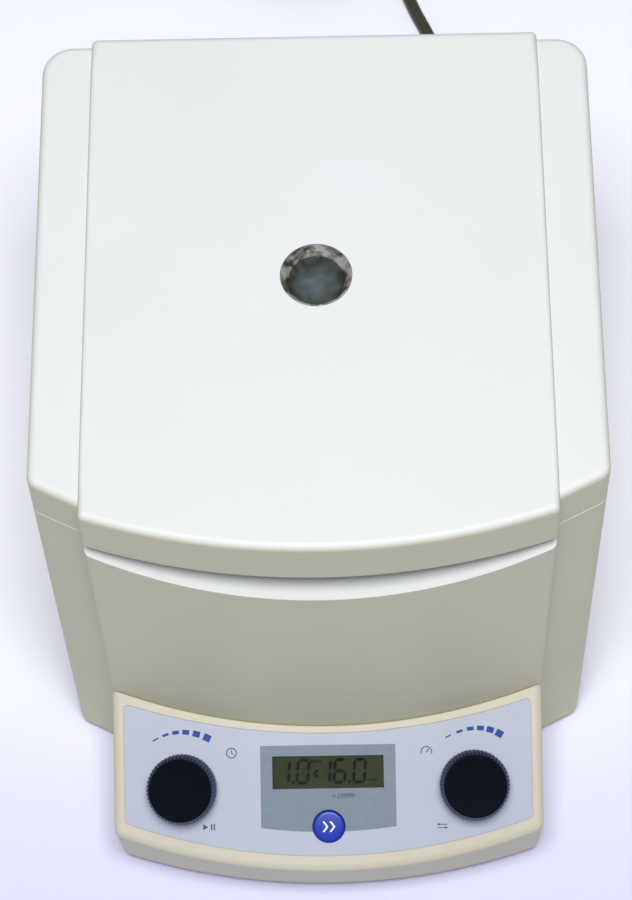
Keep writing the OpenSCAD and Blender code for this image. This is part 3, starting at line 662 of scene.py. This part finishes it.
def pictograms():
    shapes = []
    # a clock
    x, s = -38.6, 26.7
    shapes += [ring_plate(x, s, 1.75, 2.15)]
    shapes += [bar(x, s, x, s - 1.3, 0.36), bar(x, s, x + 0.95, s + 0.5, 0.36)]
    # a gauge
    x, s = 39.5, 27.4
    shapes += [ring_plate(x, s, 1.95, 2.35, 20, -20, 200)]
    shapes += [bar(x - 0.2, s + 0.2, x + 1.1, s - 1.3, 0.4)]
    # play and pause
    x, s = -47.9, 56.1
    shapes += [
        plate([(x - 2.4, -s - 1.2), (x - 0.4, -s), (x - 2.4, -s + 1.2)]),
        bar(x + 0.9, s - 1.2, x + 0.9, s + 1.2, 0.55),
        bar(x + 2.0, s - 1.2, x + 2.0, s + 1.2, 0.55),
    ]
    # two arrows, one each way
    x, s = 45.4, 57.0
    for k in (-1, 1):
        y = s + k * 0.65
        shapes += [
            bar(x - k * 2.0, y, x + k * 1.4, y, 0.32),
            plate([(x + k * 1.1, -y - 0.55), (x + k * 2.2, -y), (x + k * 1.1, -y + 0.55)][:: k]),
        ]
    # a small multiplier sign under the display
    x, s = 5.8, 44.3
    for k in (-1, 1):
        shapes += [bar(x - 4.0, s + k * 0.6, x - 2.8, s - k * 0.6, 0.42)]
    shapes += [bar(x - 1.7, s - 1.0, x - 1.7, s + 1.0, 0.55)]
    for k in range(3):
        shapes.append(ring_plate(x - 0.05 + 1.95 * k, s, 0.45, 0.95, 16))
    return shapes


prints = ink("pictograms", pictograms())


# ------------------------------------------------------------------ display digits
FIGURE_Z = (-2.39, -2.3)
SEGMENTS = {
    "0": "abcdef", "1": "bc", "2": "abged", "3": "abgcd", "4": "fgbc", "5": "afgcd",
    "6": "afgedc", "7": "abc", "8": "abcdefg", "9": "abcdfg",
}


def digit(char, x, s, w, h, t, lean=0.08):
    """A seven-segment figure with its lower left corner at x, s."""
    half = h / 2
    gap = t * 0.16

    def across(y):
        return [(gap, y), (t / 2 + gap, y + t / 2), (w - t / 2 - gap, y + t / 2), (w - gap, y),
                (w - t / 2 - gap, y - t / 2), (t / 2 + gap, y - t / 2)]

    def upright(cx, y0, y1):
        return [(cx, y0 + gap), (cx + t / 2, y0 + t / 2 + gap), (cx + t / 2, y1 - t / 2 - gap),
                (cx, y1 - gap), (cx - t / 2, y1 - t / 2 - gap), (cx - t / 2, y0 + t / 2 + gap)]

    shape = {
        "a": across(h), "g": across(half), "d": across(0),
        "b": upright(w, half, h), "c": upright(w, 0, half),
        "f": upright(0, half, h), "e": upright(0, 0, half),
    }
    out = []
    for key in SEGMENTS[char]:
        pts = [(x + px + lean * py, -s + py) for px, py in shape[key]]
        area = sum(pts[i - 1][0] * pts[i][1] - pts[i][0] * pts[i - 1][1] for i in range(len(pts)))
        out.append(prism(pts if area > 0 else pts[::-1], *FIGURE_Z))
    return out


def readout():
    """The two values on the display, with their points, a running mark and small unit bars."""
    base = LCD_S[1] - 2.3
    shapes = []
    for char, x in (("1", -20.3), ("0", -12.6), ("1", -3.9), ("6", 2.2), ("0", 10.1)):
        shapes += digit(char, x, base, 4.3, 9.0, 1.3)
    for x in (-14.6, 8.0):
        shapes.append(prism(square(x, x + 1.1, base - 0.9, base + 0.4), *FIGURE_Z))
    for x, s in ((-5.4, base - 4.4), (-5.4, base - 2.4), (-6.1, base - 3.4)):
        shapes.append(prism(square(x, x + 1.5, s - 0.85, s + 0.35), *FIGURE_Z))
    for x, s, w in ((-6.9, base - 8.0, 4.6), (16.3, base - 0.3, 3.4)):
        for k in range(4):
            left = x + k * w / 4
            shapes.append(prism(square(left, left + w / 4 * 0.68, s - 1.0, s), *FIGURE_Z))
    return on_panel(make("display_figures", *joined(*shapes)))


figures = readout()


# ------------------------------------------------------------------ knobs and button
def knob_shape(cx):
    """A knurled skirt under a bevelled disc, with a hollow underneath."""
    ribs, per_rib = 52, 6
    steps = ribs * per_rib
    bore_r, bore_top = 3.1, 12.0
    profile = [
        (bore_r, 1.6, 0), (11.3, 1.6, 0), (11.3, 1.4, 0), (13.3, 1.4, 0), (13.75, 1.7, 0.3),
        (13.95, 2.4, 1), (13.95, 9.2, 1), (13.8, 10.4, 1), (13.35, 11.8, 1), (12.9, 12.7, 0.6),
        (12.5, 13.1, 0), (12.2, 13.2, 0), (12.15, 13.6, 0), (12.55, 13.8, 0), (12.72, 14.1, 0),
        (12.75, 15.2, 0), (12.68, 15.6, 0), (12.45, 15.85, 0), (12.1, 15.95, 0), (11.6, 15.9, 0),
        (8.0, 15.78, 0), (4.0, 15.7, 0), (1.0, 15.68, 0),
    ]
    rings = []
    for r, z, knurl in profile:
        ring = []
        for k in range(steps):
            a = 2 * pi * k / steps
            wave = 0.5 + 0.5 * cos(2 * pi * k / per_rib)
            rr = r - 0.55 * knurl * (1 - wave**0.6)
            ring.append((cx + rr * cos(a), -KNOB_S + rr * sin(a), z))
        rings.append(ring)
    verts, faces = loft(rings, caps=False)
    faces.append(tuple(range((len(rings) - 1) * steps, len(rings) * steps)))
    # the blind bore's wall and top
    base = len(verts)
    for k in range(steps):
        a = 2 * pi * k / steps
        verts.append((cx + bore_r * cos(a), -KNOB_S + bore_r * sin(a), bore_top))
    for k in range(steps):
        j = (k + 1) % steps
        faces.append((j, k, base + k, base + j))
    faces.append(tuple(base + k for k in reversed(range(steps))))
    return verts, faces


knobs = {}
for name, x in (("time", -KNOB_X), ("speed", KNOB_X)):
    knobs[name] = on_panel(make(name + "_knob_cap", *knob_shape(x), angle=28))
    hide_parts(name + "_knob")

button_profile = [
    (0.0, -6.2), (7.4, -6.2), (7.45, -6.1), (7.45, -5.1), (7.35, -5.0), (6.3, -4.95),
    (6.3, 0.35), (6.22, 0.7), (6.0, 0.95), (5.6, 1.08), (5.2, 1.12), (3.0, 1.17), (0.0, 1.19),
]
button = on_panel(make("push_button", *spun(button_profile, 64, (0, -BUTTON_S)), angle=40))
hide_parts("short_button")
stem_profile = [(0, -9), (1.5, -9), (1.6, -8.9), (1.6, -6.1), (0, -6.1)]
stem = on_panel(make("button_stem", *spun(stem_profile, 24, (0, -BUTTON_S))))
strokes = (
    [(-0.9, -2.1), (-0.1, -2.1), (1.5, 0), (0.7, 0)],
    [(0.7, 0), (1.5, 0), (-0.1, 2.1), (-0.9, 2.1)],
)
chevron = on_panel(make("button_mark", *joined(*[
    prism([(x + px, -BUTTON_S + py) for px, py in pts], 1.12, 1.23)
    for x in (-1.7, 1.1) for pts in strokes
])))

# ------------------------------------------------------------------ viewing port
ring_profile = [
    (11.4, 208.5), (11.4, 223.9), (13.25, 223.9), (13.3, 224.1), (13.3, 228.7), (13.2, 228.9),
    (13.0, 228.98), (12.75, 228.95), (12.5, 228.75), (11.7, 227.6), (10.9, 226.4), (10.5, 225.75),
    (10.4, 225.5), (10.4, 223.45), (8.9, 223.45), (8.8, 223.35), (8.8, 221.2), (8.9, 221.1),
    (10.4, 221.1), (10.45, 208.5),
]
port_ring = make("port_ring_clear", *spun(ring_profile, 96, (0, ROTOR_Y), closed=True), angle=30)
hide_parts("port_ring")
lens_profile = [
    (0, 223.5), (10.1, 223.5), (10.3, 223.65), (10.3, 225.2), (10.15, 225.42), (9.8, 225.5),
    (6.0, 225.58), (0, 225.6),
]
port_lens = make("port_lens_clear", *spun(lens_profile, 96, (0, ROTOR_Y)), angle=30)
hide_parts("port_lens")


# ------------------------------------------------------------------ connector and plug
def box_shape(lo, hi, r, ends, steps=5):
    """A block with rounded edges along Y and softened ends, in its own X-Z section."""
    def section(d):
        x0, x1, z0, z1 = lo[0] + d, hi[0] - d, lo[2] + d, hi[2] - d
        return rounded([(x0, z0), (x1, z0), (x1, z1), (x0, z1)], max(r - d, 0.3), 5)

    turns = [pi / 2 * k / steps for k in range(steps + 1)]
    stations = [(lo[1] + ends * (1 - cos(a)), a) for a in turns]
    stations += [(hi[1] - ends * (1 - cos(a)), a) for a in reversed(turns)]
    return loft([[(x, y, z) for x, z in section(ends * (1 - sin(a)))] for y, a in stations])


def relief(length, r0, r1, ribs, steps=32):
    """A tapered strain relief along +Z with a ring of notches at each rib."""
    profile = [(0, -3), (r0, -3), (r0, 0)]
    pitch = length / ribs
    for i in range(ribs):
        z = pitch * i
        t0, t1 = i / ribs, (i + 1) / ribs
        ra, rb = r0 + (r1 - r0) * t0, r0 + (r1 - r0) * t1
        profile += [
            (ra - 0.15, z + pitch * 0.08), (ra, z + pitch * 0.16),
            ((ra + rb) / 2 + 0.05, z + pitch * 0.45), (rb, z + pitch * 0.66),
            (rb - 0.7, z + pitch * 0.74), (rb - 0.7, z + pitch * 0.94),
        ]
    profile += [(r1, length), (0, length)]
    return spun(profile, steps)


x, z = INLET
GRIP_END = 152
along_y = Matrix.Rotation(rad(-90), 4, "X")
connector_relief = placed(
    relief(34, 7.8, 3.5, 6), Matrix.Translation((x, GRIP_END, z)) @ along_y
)
connector = make(
    "lead_connector",
    *box_shape((x - 12, PANEL_Y - 16, z - 8), (x + 12, PANEL_Y + 3.5, z + 8), 2.0, 0.5),
)
grip = box_shape((x - 13.5, PANEL_Y + 2.6, z - 9.5), (x + 13.5, GRIP_END, z + 9.5), 4.0, 2.2)
united(connector, grip, connector_relief)
for px, pz in ((-7, -2), (7, -2), (0, 2)):
    boolean(connector, block((x + px - 2.2, PANEL_Y - 19, z + pz - 1.2),
                             (x + px + 2.2, PANEL_Y - 2, z + pz + 1.2)))
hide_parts("mains_connector")

plug_turn = Matrix.Translation(PLUG_AT) @ Matrix.Rotation(rad(90), 4, "Z")
body_shape = box_shape((-12.5, 27, -11), (12.5, 60, 11), 6.0, 3.0)
face_shape = box_shape((-14, 56.5, -12), (14, 62, 12), 5.0, 0.8)
plug = make(
    "lead_plug",
    *joined(
        placed(body_shape, plug_turn),
        placed(face_shape, plug_turn),
        placed(relief(28.5, 3.5, 7.8, 5), plug_turn @ along_y),
    ),
)
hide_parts("mains_plug")


def strap_shape():
    """The tie round the coil's section."""
    outer = rounded([(23.0, 0.1), (49.2, 0.1), (49.2, 13.9), (23.0, 13.9)], 2.2, 5)
    inner = rounded([(23.7, 0.8), (48.4, 0.8), (48.4, 13.1), (23.7, 13.1)], 1.6, 5)
    n = len(outer)
    rings = []
    for y, grow in ((-4.4, 0.25), (-4.15, 0), (4.15, 0), (4.4, 0.25)):
        rings.append([(a + (b - a) * grow, y, c + (d - c) * grow)
                      for (a, c), (b, d) in zip(outer, inner)]
                     + [(b, y, d) for b, d in inner])
    verts = [p for ring in rings for p in ring]
    faces = []
    m = 2 * n
    for i in range(3):
        for k in range(n):
            j = (k + 1) % n
            faces.append((i * m + k, i * m + j, (i + 1) * m + j, (i + 1) * m + k))
            faces.append((i * m + n + j, i * m + n + k, (i + 1) * m + n + k, (i + 1) * m + n + j))
    for i in (0, 3):
        for k in range(n):
            j = (k + 1) % n
            quad = (i * m + k, i * m + n + k, i * m + n + j, i * m + j)
            faces.append(quad if i == 0 else quad[::-1])
    turn = Matrix.Translation((COIL_C[0], COIL_C[1], 0)) @ Matrix.Rotation(rad(300), 4, "Z")
    return placed((verts, faces), turn)


tie = make("lead_tie", *strap_shape())
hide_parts("cord_tie")
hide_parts("mains_cord", "cord_coil")

# ------------------------------------------------------------------ feet
foot_profile = [(0, 0), (8.2, 0), (8.8, 0.25), (9.1, 0.8), (9.9, 4.6), (9.8, 5.0), (0, 5.0)]
feet = make("rubber_feet", *joined(*[
    spun(foot_profile, 40, (fx, fy)) for fx in (-78, 78) for fy in (106, -46)
]))
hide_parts("feet")


# ------------------------------------------------------------------ softened CAD parts
def soften(name, width):
    """Softens the edges of a CAD node where it shows, without touching its own mesh."""
    obj = nodes[name]
    weld = obj.modifiers.new("weld", "WELD")
    weld.merge_threshold = 0.00001
    bevel = obj.modifiers.new("edge", "BEVEL")
    bevel.width, bevel.segments = width * MM, 2
    bevel.limit_method, bevel.angle_limit = "ANGLE", rad(35)
    bevel.use_clamp_overlap = True
    bevel.harden_normals = False


# ------------------------------------------------------------------ materials
PLASTIC_IOR, DUST = 1.49, (0.25, 0.25, 0.24)


def rgb(hex_code):
    """A colour of the screen as a linear one."""
    values = [int(hex_code[i : i + 2], 16) / 255 for i in (0, 2, 4)]
    return tuple(v / 12.92 if v <= 0.04045 else ((v + 0.055) / 1.055) ** 2.4 for v in values)


class Nodes:
    """A short way to write a material's nodes."""

    def __init__(self, name):
        self.mat = bpy.data.materials.new(name)
        self.mat.use_nodes = True
        self.tree = self.mat.node_tree
        self.tree.nodes.clear()
        self.out = self.tree.nodes.new("ShaderNodeOutputMaterial")
        self.bsdf = self.tree.nodes.new("ShaderNodeBsdfPrincipled")
        self.tree.links.new(self.bsdf.outputs[0], self.out.inputs["Surface"])
        self.coord = self.tree.nodes.new("ShaderNodeTexCoord").outputs["Object"]

    def put(self, socket, value):
        if isinstance(value, bpy.types.NodeSocket):
            self.tree.links.new(value, socket)
        else:
            socket.default_value = value

    def node(self, kind, out=0, props=None, **inputs):
        n = self.tree.nodes.new("ShaderNode" + kind)
        for k, v in (props or {}).items():
            setattr(n, k, v)
        for k, v in inputs.items():
            numbered = k[0] == "i" and k[1:].isdigit()
            self.put(n.inputs[int(k[1:]) if numbered else k.replace("_", " ")], v)
        return n.outputs[out]

    def xyz(self, vector):
        """The three parts of a vector."""
        n = self.tree.nodes.new("ShaderNodeSeparateXYZ")
        self.put(n.inputs[0], vector)
        return n.outputs

    def noise(self, scale, detail=3.0, rough=0.5, vector=None, distortion=0.0):
        return self.node("TexNoise", Vector=vector or self.coord, Scale=scale, Detail=detail,
                         Roughness=rough, Distortion=distortion)

    def stretched(self, x, y, z):
        return self.node("Mapping", i0=self.coord, i3=(x, y, z))

    def ramp(self, value, lo, hi, out_lo=0.0, out_hi=1.0):
        return self.node("MapRange", i0=value, i1=lo, i2=hi, i3=out_lo, i4=out_hi)

    def mix(self, factor, a, b, blend="MIX"):
        n = self.tree.nodes.new("ShaderNodeMix")
        n.data_type, n.blend_type = "RGBA", blend
        self.put(n.inputs[0], factor)
        self.put(n.inputs[6], a if isinstance(a, bpy.types.NodeSocket) else (*a, 1))
        self.put(n.inputs[7], b if isinstance(b, bpy.types.NodeSocket) else (*b, 1))
        return n.outputs[2]

    def math(self, op, a, b=0.0):
        return self.node("Math", props={"operation": op}, i0=a, i1=b)

    def bump(self, height, strength, distance):
        normal = self.node("Bump", Height=height, Strength=strength, Distance=distance)
        self.tree.links.new(normal, self.bsdf.inputs["Normal"])

    def set(self, **values):
        for k, v in values.items():
            socket = self.bsdf.inputs[k.replace("_", " ")]
            if isinstance(v, tuple) and len(v) == 3:
                v = (*v, 1)
            self.put(socket, v)


FINE_BUMP = 0.00005


def moulded(name, colour, aged, rough=0.42, grain=2600.0, grain_depth=0.3, worn=None,
            scuffs=True, upright_shading=None, specular=0.5):
    """Moulded plastic: fine grain, faint blotches, a little yellowing and a few scuffs.

    The colour for the upright faces is painted light and shade: it stands for the light falling on
    them differently than on the top."""
    m = Nodes(name)
    cloud = m.ramp(m.noise(9, 4, 0.55), 0.35, 0.7)
    base = m.mix(cloud, colour, aged)
    # Painted light and shade: faces are coloured by which way they face, the upright ones taking
    # their own colour in place of the light that falls on them.
    if upright_shading is not None:
        normal = m.xyz(m.tree.nodes["Texture Coordinate"].outputs["Normal"])
        upward = m.ramp(normal[2], 0.30, 0.85)
        base = m.mix(upward, m.mix(cloud, upright_shading, tuple(c * 0.96 for c in upright_shading)), base)
    speck = m.ramp(m.noise(900, 2, 0.6), 0.62, 0.75)
    base = m.mix(m.math("MULTIPLY", speck, 0.10), base, tuple(c * 0.6 for c in aged))
    roughness = m.ramp(m.noise(60, 4, 0.6), 0.3, 0.7, rough - 0.03, rough + 0.03)
    height = m.noise(grain, 2, 0.5)
    if scuffs:
        streak = m.noise(70, 5, 0.7, m.stretched(1, 0.06, 0.4), 0.4)
        mark = m.ramp(streak, 0.68, 0.72)
        mark = m.math("MULTIPLY", mark, m.ramp(m.noise(14, 2, 0.5), 0.56, 0.66))
        base = m.mix(m.math("MULTIPLY", mark, 0.30), base, tuple(c * 0.55 for c in aged))
    if worn is not None:
        edge = m.node("NewGeometry", out=7)
        wear = m.ramp(edge, 0.53, 0.62)
        wear = m.math("MULTIPLY", wear, m.ramp(m.noise(160, 4, 0.7), 0.42, 0.62))
        base = m.mix(m.math("MULTIPLY", wear, 0.45), base, worn)
    m.set(Base_Color=base, Roughness=roughness, Specular_IOR_Level=specular)
    m.bump(height, grain_depth, FINE_BUMP)
    return m.mat


def metal(name, colour, rough=0.32, stretch=(1, 1, 1), scale=400.0, tarnish=0.85,
          metallic=1.0, depth=0.12):
    """Metal with a directional finish, faint tarnish and fingerprints in its gloss."""
    m = Nodes(name)
    lines = m.noise(scale, 4, 0.65, m.stretched(*stretch))
    blotch = m.ramp(m.noise(25, 4, 0.6), 0.35, 0.7)
    base = m.mix(blotch, colour, tuple(c * tarnish for c in colour))
    base = m.mix(m.ramp(lines, 0.35, 0.65, 0.0, 0.25), base, tuple(c * 0.7 for c in colour))
    roughness = m.math("ADD", m.ramp(lines, 0.3, 0.7, rough - 0.06, rough + 0.08),
                       m.ramp(m.noise(45, 3, 0.6), 0.55, 0.75, 0, 0.10))
    m.set(Base_Color=base, Roughness=roughness, Metallic=metallic)
    m.bump(lines, depth, FINE_BUMP)
    return m.mat


def spun_metal(name, colour, rough):
    """Turned metal: the tool's rings round the rotor's axis."""
    m = Nodes(name)
    place = m.xyz(m.coord)
    dx, dy = place[0], m.math("SUBTRACT", place[1], ROTOR_Y * MM)
    r = m.math("SQRT", m.math("ADD", m.math("MULTIPLY", dx, dx), m.math("MULTIPLY", dy, dy)))
    comb = m.tree.nodes.new("ShaderNodeCombineXYZ")
    m.put(comb.inputs[0], r)
    m.put(comb.inputs[1], place[2])
    rings = m.noise(900, 4, 0.7, comb.outputs[0])
    blotch = m.ramp(m.noise(30, 4, 0.6), 0.35, 0.7)
    base = m.mix(blotch, colour, tuple(c * 0.82 for c in colour))
    base = m.mix(m.ramp(rings, 0.35, 0.65, 0.0, 0.3), base, tuple(c * 0.62 for c in colour))
    roughness = m.math("ADD", m.ramp(rings, 0.3, 0.7, rough - 0.05, rough + 0.08),
                       m.ramp(m.noise(60, 3, 0.6), 0.55, 0.75, 0, 0.12))
    m.set(Base_Color=base, Roughness=roughness, Metallic=1.0)
    m.bump(rings, 0.15, FINE_BUMP)
    return m.mat


def rubber(name, colour, rough=0.6, grain=1800.0, depth=0.3):
    """Rubber or paint with pale worn patches and a film of dust."""
    m = Nodes(name)
    patch = m.ramp(m.noise(40, 4, 0.6), 0.4, 0.75, 0, 0.5)
    base = m.mix(patch, colour, tuple(c * 1.6 + 0.004 for c in colour))
    film = m.math("MULTIPLY", m.ramp(m.noise(300, 3, 0.7), 0.55, 0.8), 0.10)
    base = m.mix(film, base, DUST)
    m.set(Base_Color=base,
          Roughness=m.ramp(m.noise(120, 3, 0.6), 0.3, 0.7, rough - 0.08, rough + 0.10))
    m.bump(m.noise(grain, 2, 0.5), depth, 0.00006)
    return m.mat


def clear(name, colour):
    """Clear plastic with a faint haze."""
    m = Nodes(name)
    haze = m.ramp(m.noise(80, 3, 0.6), 0.4, 0.8, 0, 0.25)
    m.set(Base_Color=m.mix(haze, colour, tuple(c * 0.93 for c in colour)),
          Roughness=m.ramp(m.noise(220, 4, 0.7), 0.45, 0.8, 0.03, 0.08),
          Transmission_Weight=1.0, IOR=PLASTIC_IOR)
    m.bump(m.noise(500, 2, 0.5), 0.02, FINE_BUMP)
    return m.mat


def cast_clear(name, light, dark, scale, transmission, centre=None):
    """Thick clear plastic with light and dark patches painted in as reflections and shade, and a
    pale painted reflection about centre if it is given.
    """
    m = Nodes(name)
    # Painted reflections and shade: light and dark patches in the colour.
    patch = m.ramp(m.noise(scale, 2, 0.5, distortion=1.5), 0.42, 0.62)
    # Painted reflection: palest about the centre.
    if centre is not None:
        far = m.node("VectorMath", out=1, props={"operation": "DISTANCE"}, i0=m.coord, i1=centre)
        patch = m.math("ADD", m.math("MULTIPLY", patch, 0.3), m.ramp(far, 0.0095, 0.002, 0.0, 0.7))
    m.set(Base_Color=m.mix(patch, dark, light),
          Roughness=m.ramp(m.noise(220, 4, 0.7), 0.45, 0.8, 0.05, 0.12),
          Transmission_Weight=transmission, IOR=PLASTIC_IOR)
    m.bump(m.noise(90, 2, 0.5), 0.35, 0.0008)
    return m.mat


def printed(name, colour, rough=0.4, specular=0.3):
    """A printed or glossy thin layer with a fine mottle."""
    m = Nodes(name)
    mottle = m.ramp(m.noise(700, 3, 0.6), 0.4, 0.7, 0, 0.35)
    m.set(Base_Color=m.mix(mottle, colour, tuple(c * 0.86 for c in colour)),
          Roughness=m.ramp(m.noise(300, 3, 0.6), 0.3, 0.7, rough - 0.05, rough + 0.06),
          Specular_IOR_Level=specular)
    m.bump(m.noise(3000, 2, 0.5), 0.1, 0.00003)
    return m.mat


def board(name):
    """A circuit board: solder mask with faint tracks under it."""
    m = Nodes(name)
    brick = m.tree.nodes.new("ShaderNodeTexBrick")
    for key, value in {
        "Vector": m.coord, "Scale": 140, "Mortar Size": 0.03,
        "Color1": (0.012, 0.09, 0.035, 1), "Color2": (0.018, 0.12, 0.05, 1),
        "Mortar": (0.05, 0.26, 0.11, 1),
    }.items():
        m.put(brick.inputs[key], value)
    patch = m.ramp(m.noise(50, 3, 0.6), 0.4, 0.7, 0, 0.4)
    m.set(Base_Color=m.mix(patch, brick.outputs[0], (0.015, 0.10, 0.04)),
          Roughness=m.ramp(m.noise(200, 3, 0.6), 0.3, 0.7, 0.3, 0.45))
    m.bump(brick.outputs[1], 0.3, 0.00008)
    return m.mat


MATERIALS = {
    # Painted shade: the covers' upright faces are painted darker and warmer than their tops;
    # painted light: the console's upright faces are painted lighter than its sloping panel.
    "cover": moulded("cover_plastic", rgb("D3D7D8"), rgb("D1D4D2"), 0.50,
                     upright_shading=rgb("C5C4A8"), specular=0.3),
    "console_cream": moulded("console_plastic", rgb("BFBAAC"), rgb("BBB5A4"), 0.50,
                             upright_shading=rgb("C8C5AB"), specular=0.3),
    "overlay_film": moulded("overlay_film", rgb("A6ADBD"), rgb("A2A9BA"), 0.45, 3800.0, 0.15,
                            scuffs=False, specular=0.3),
    "surround": printed("surround_print", rgb("697785"), 0.45),
    "blue_ink": printed("blue_ink", rgb("1C3C8C"), 0.5, 0.2),
    "slate_ink": printed("slate_ink", rgb("3A4472"), 0.5, 0.2),
    "white_ink": printed("white_ink", rgb("E6ECF4"), 0.3),
    "figure": printed("figure_black", rgb("010200"), 0.6, 0.0),
    # Painted highlight: the knobs' upright faces, the knurled skirts, are painted lighter than the
    # dark discs on top.
    "knob_navy": moulded("knob_plastic", rgb("02060F"), rgb("040914"), 0.55, 3000.0, 0.25,
                         scuffs=False, upright_shading=rgb("5A5F80"), specular=0.03),
    "button_blue": moulded("button_plastic", rgb("1034A6"), rgb("0F3096"), 0.24, 3000.0, 0.06,
                           scuffs=False, specular=0.25),
    "lcd_green": printed("lcd_glass", rgb("39411A"), 0.6, 0.12),
    "clear_plastic": clear("clear_plastic", (0.90, 0.93, 0.92)),
    # Painted reflections and shade: the port's ring and lens carry light and dark patches, and the
    # lens a pale painted reflection at its centre.
    "port_clear": cast_clear("port_clear", (0.90, 0.91, 0.88), (0.10, 0.10, 0.07), 110, 0.70),
    "port_smoky": cast_clear("port_smoky", (0.34, 0.44, 0.50), (0.08, 0.09, 0.04), 110, 0.75,
                             (0, 0.0195, 0.2255)),
    "sheet_steel": metal("sheet_steel", (0.60, 0.61, 0.61), 0.36, (1, 12, 1), 120.0),
    "stainless": spun_metal("stainless_bowl", (0.58, 0.59, 0.60), 0.24),
    "rotor_alloy": spun_metal("rotor_alloy", (0.42, 0.43, 0.45), 0.32),
    "motor_grey": rubber("motor_paint", (0.10, 0.11, 0.12), 0.45, 900.0),
    "copper_winding": metal("copper_winding", (0.50, 0.24, 0.10), 0.42, (1, 1, 14), 90.0, 0.7,
                            0.9, 0.5),
    "shaft_steel": metal("ground_steel", (0.66, 0.66, 0.67), 0.22, (1, 1, 8), 250.0),
    "rubber_black": rubber("rubber_black", (0.022, 0.022, 0.022), 0.62),
    "black_plastic": moulded("black_plastic", (0.018, 0.018, 0.020), (0.026, 0.026, 0.028), 0.42,
                             2200.0, 0.35, worn=(0.08, 0.08, 0.085), scuffs=False),
    "grey_plastic": moulded("grey_plastic", (0.20, 0.21, 0.22), (0.17, 0.18, 0.19), 0.42,
                            scuffs=False),
    "board_green": board("circuit_board"),
    "contact_metal": metal("contact_metal", (0.66, 0.63, 0.52), 0.26, (8, 1, 1), 260.0),
    "cord_sheath": rubber("lead_sheath", (0.030, 0.034, 0.018), 0.42, 1500.0, depth=0.2),
}


def dress(obj, key):
    obj.data.materials.clear()
    obj.data.materials.append(MATERIALS[key])


for part in frame["record"]["subparts"]:
    if part["material_slot"] in MATERIALS:
        dress(nodes[part["node"]], part["material_slot"])
    else:
        raise RuntimeError("no material for " + part["material_slot"])

for name, width in {
    "base_plate": 0.5, "case_screws": 0.25, "rear_panel": 0.3, "mains_inlet": 0.5,
    "inlet_pins": 0.3, "fuse_drawer": 0.4, "switch_frame": 0.5, "power_rocker": 0.7,
    "tube_rotor": 0.5, "rotor_nut": 0.5, "rotor_lid": 0.5, "rotor_lid_knob": 0.6,
    "lid_screws": 0.25, "lid_liner": 0.3, "lid_hook": 0.4, "hinge_arms": 0.5,
    "hinge_pins": 0.4, "hinge_brackets": 0.6, "plug_pins": 0.4, "latch_frame": 0.3,
    "latch_pawl": 0.5, "latch_solenoid": 0.6, "chamber_bowl": 0.25,
}.items():
    soften(name, width)

PIECES = [
    (lid, "lid", "cover", "cover"),
    (housing, "machine", "cover", "cover"),
    (console, "machine", "console_cream", "console_cream"),
    (overlay, "machine", "overlay_film", "overlay_film"),
    (surround, "machine", "surround", None),
    (blocks, "machine", "blue_ink", None),
    (prints, "machine", "slate_ink", None),
    (figures, "machine", "figure", None),
    (knobs["time"], "time_dial", "knob_navy", "knob_navy"),
    (knobs["speed"], "speed_dial", "knob_navy", "knob_navy"),
    (button, "short_key", "button_blue", "button_blue"),
    (stem, "short_key", "button_blue", "button_blue"),
    (chevron, "short_key", "white_ink", None),
    (port_ring, "lid", "port_clear", "clear_plastic"),
    (port_lens, "lid", "port_smoky", "clear_plastic"),
    (connector, "machine", "black_plastic", "black_plastic"),
    (plug, "machine", "black_plastic", "black_plastic"),
    (tie, "machine", "black_plastic", "black_plastic"),
    (feet, "machine", "rubber_black", "rubber_black"),
    (lead, "machine", "cord_sheath", "cord_sheath"),
]
for piece, body, key, slot_name in PIECES:
    dress(piece, key)
    if piece is not lead:
        level = piece.modifiers.new("level", "WEIGHTED_NORMAL")
        level.weight, level.keep_sharp = 100, True
    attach(piece, body)


# ------------------------------------------------------------------ floor and light
def make_floor():
    """A pale table cloth, with painted shade making it a little darker in front of the machine."""
    size, n = 6.0, 24
    mesh = bpy.data.meshes.new("floor")
    steps = [-size / 2 + size * i / n for i in range(n + 1)]
    verts = [(x, y, 0) for y in steps for x in steps]
    faces = [
        (j * (n + 1) + i, j * (n + 1) + i + 1, (j + 1) * (n + 1) + i + 1, (j + 1) * (n + 1) + i)
        for j in range(n) for i in range(n)
    ]
    mesh.from_pydata(verts, [], faces)
    obj = link("floor", mesh)
    m = Nodes("floor_cloth")
    base = m.mix(m.ramp(m.noise(3, 3, 0.5), 0.35, 0.7), rgb("F2F3FE"), rgb("EFF0FC"))
    # Painted shade: the cloth darkens towards the front of the machine.
    front_shade = m.node("MapRange", props={"interpolation_type": "SMOOTHERSTEP"}, i0=m.xyz(m.coord)[1],
                  i1=0.06, i2=-0.18)
    base = m.mix(front_shade, base, rgb("D1D2ED"))
    m.set(Base_Color=base, Roughness=m.ramp(m.noise(20, 3, 0.5), 0.3, 0.7, 0.85, 0.95))
    m.bump(m.noise(1500, 3, 0.6), 0.1, 0.0001)
    obj.data.materials.append(m.mat)


make_floor()


def area_light(name, place, target, size, power, colour=(1, 1, 1)):
    data = bpy.data.lights.new(name, "AREA")
    data.shape = "RECTANGLE"
    data.size, data.size_y = size
    data.energy = power
    data.color = colour
    obj = bpy.data.objects.new(name, data)
    obj.location = place
    obj.rotation_mode = "QUATERNION"
    obj.rotation_quaternion = (Vector(target) - Vector(place)).to_track_quat("-Z", "Y")
    bpy.context.scene.collection.objects.link(obj)


area_light("softbox_key", (0.02, -0.66, 2.35), (0, 0, 0.1), (0.9, 0.65), 58, (1.0, 0.998, 0.99))
world = bpy.data.worlds.new("world")
world.use_nodes = True
background = world.node_tree.nodes["Background"]
background.inputs["Color"].default_value = (0.94, 0.95, 1.0, 1)
background.inputs["Strength"].default_value = 0.25
bpy.context.scene.world = world
bpy.context.scene.view_settings.view_transform = "Standard"
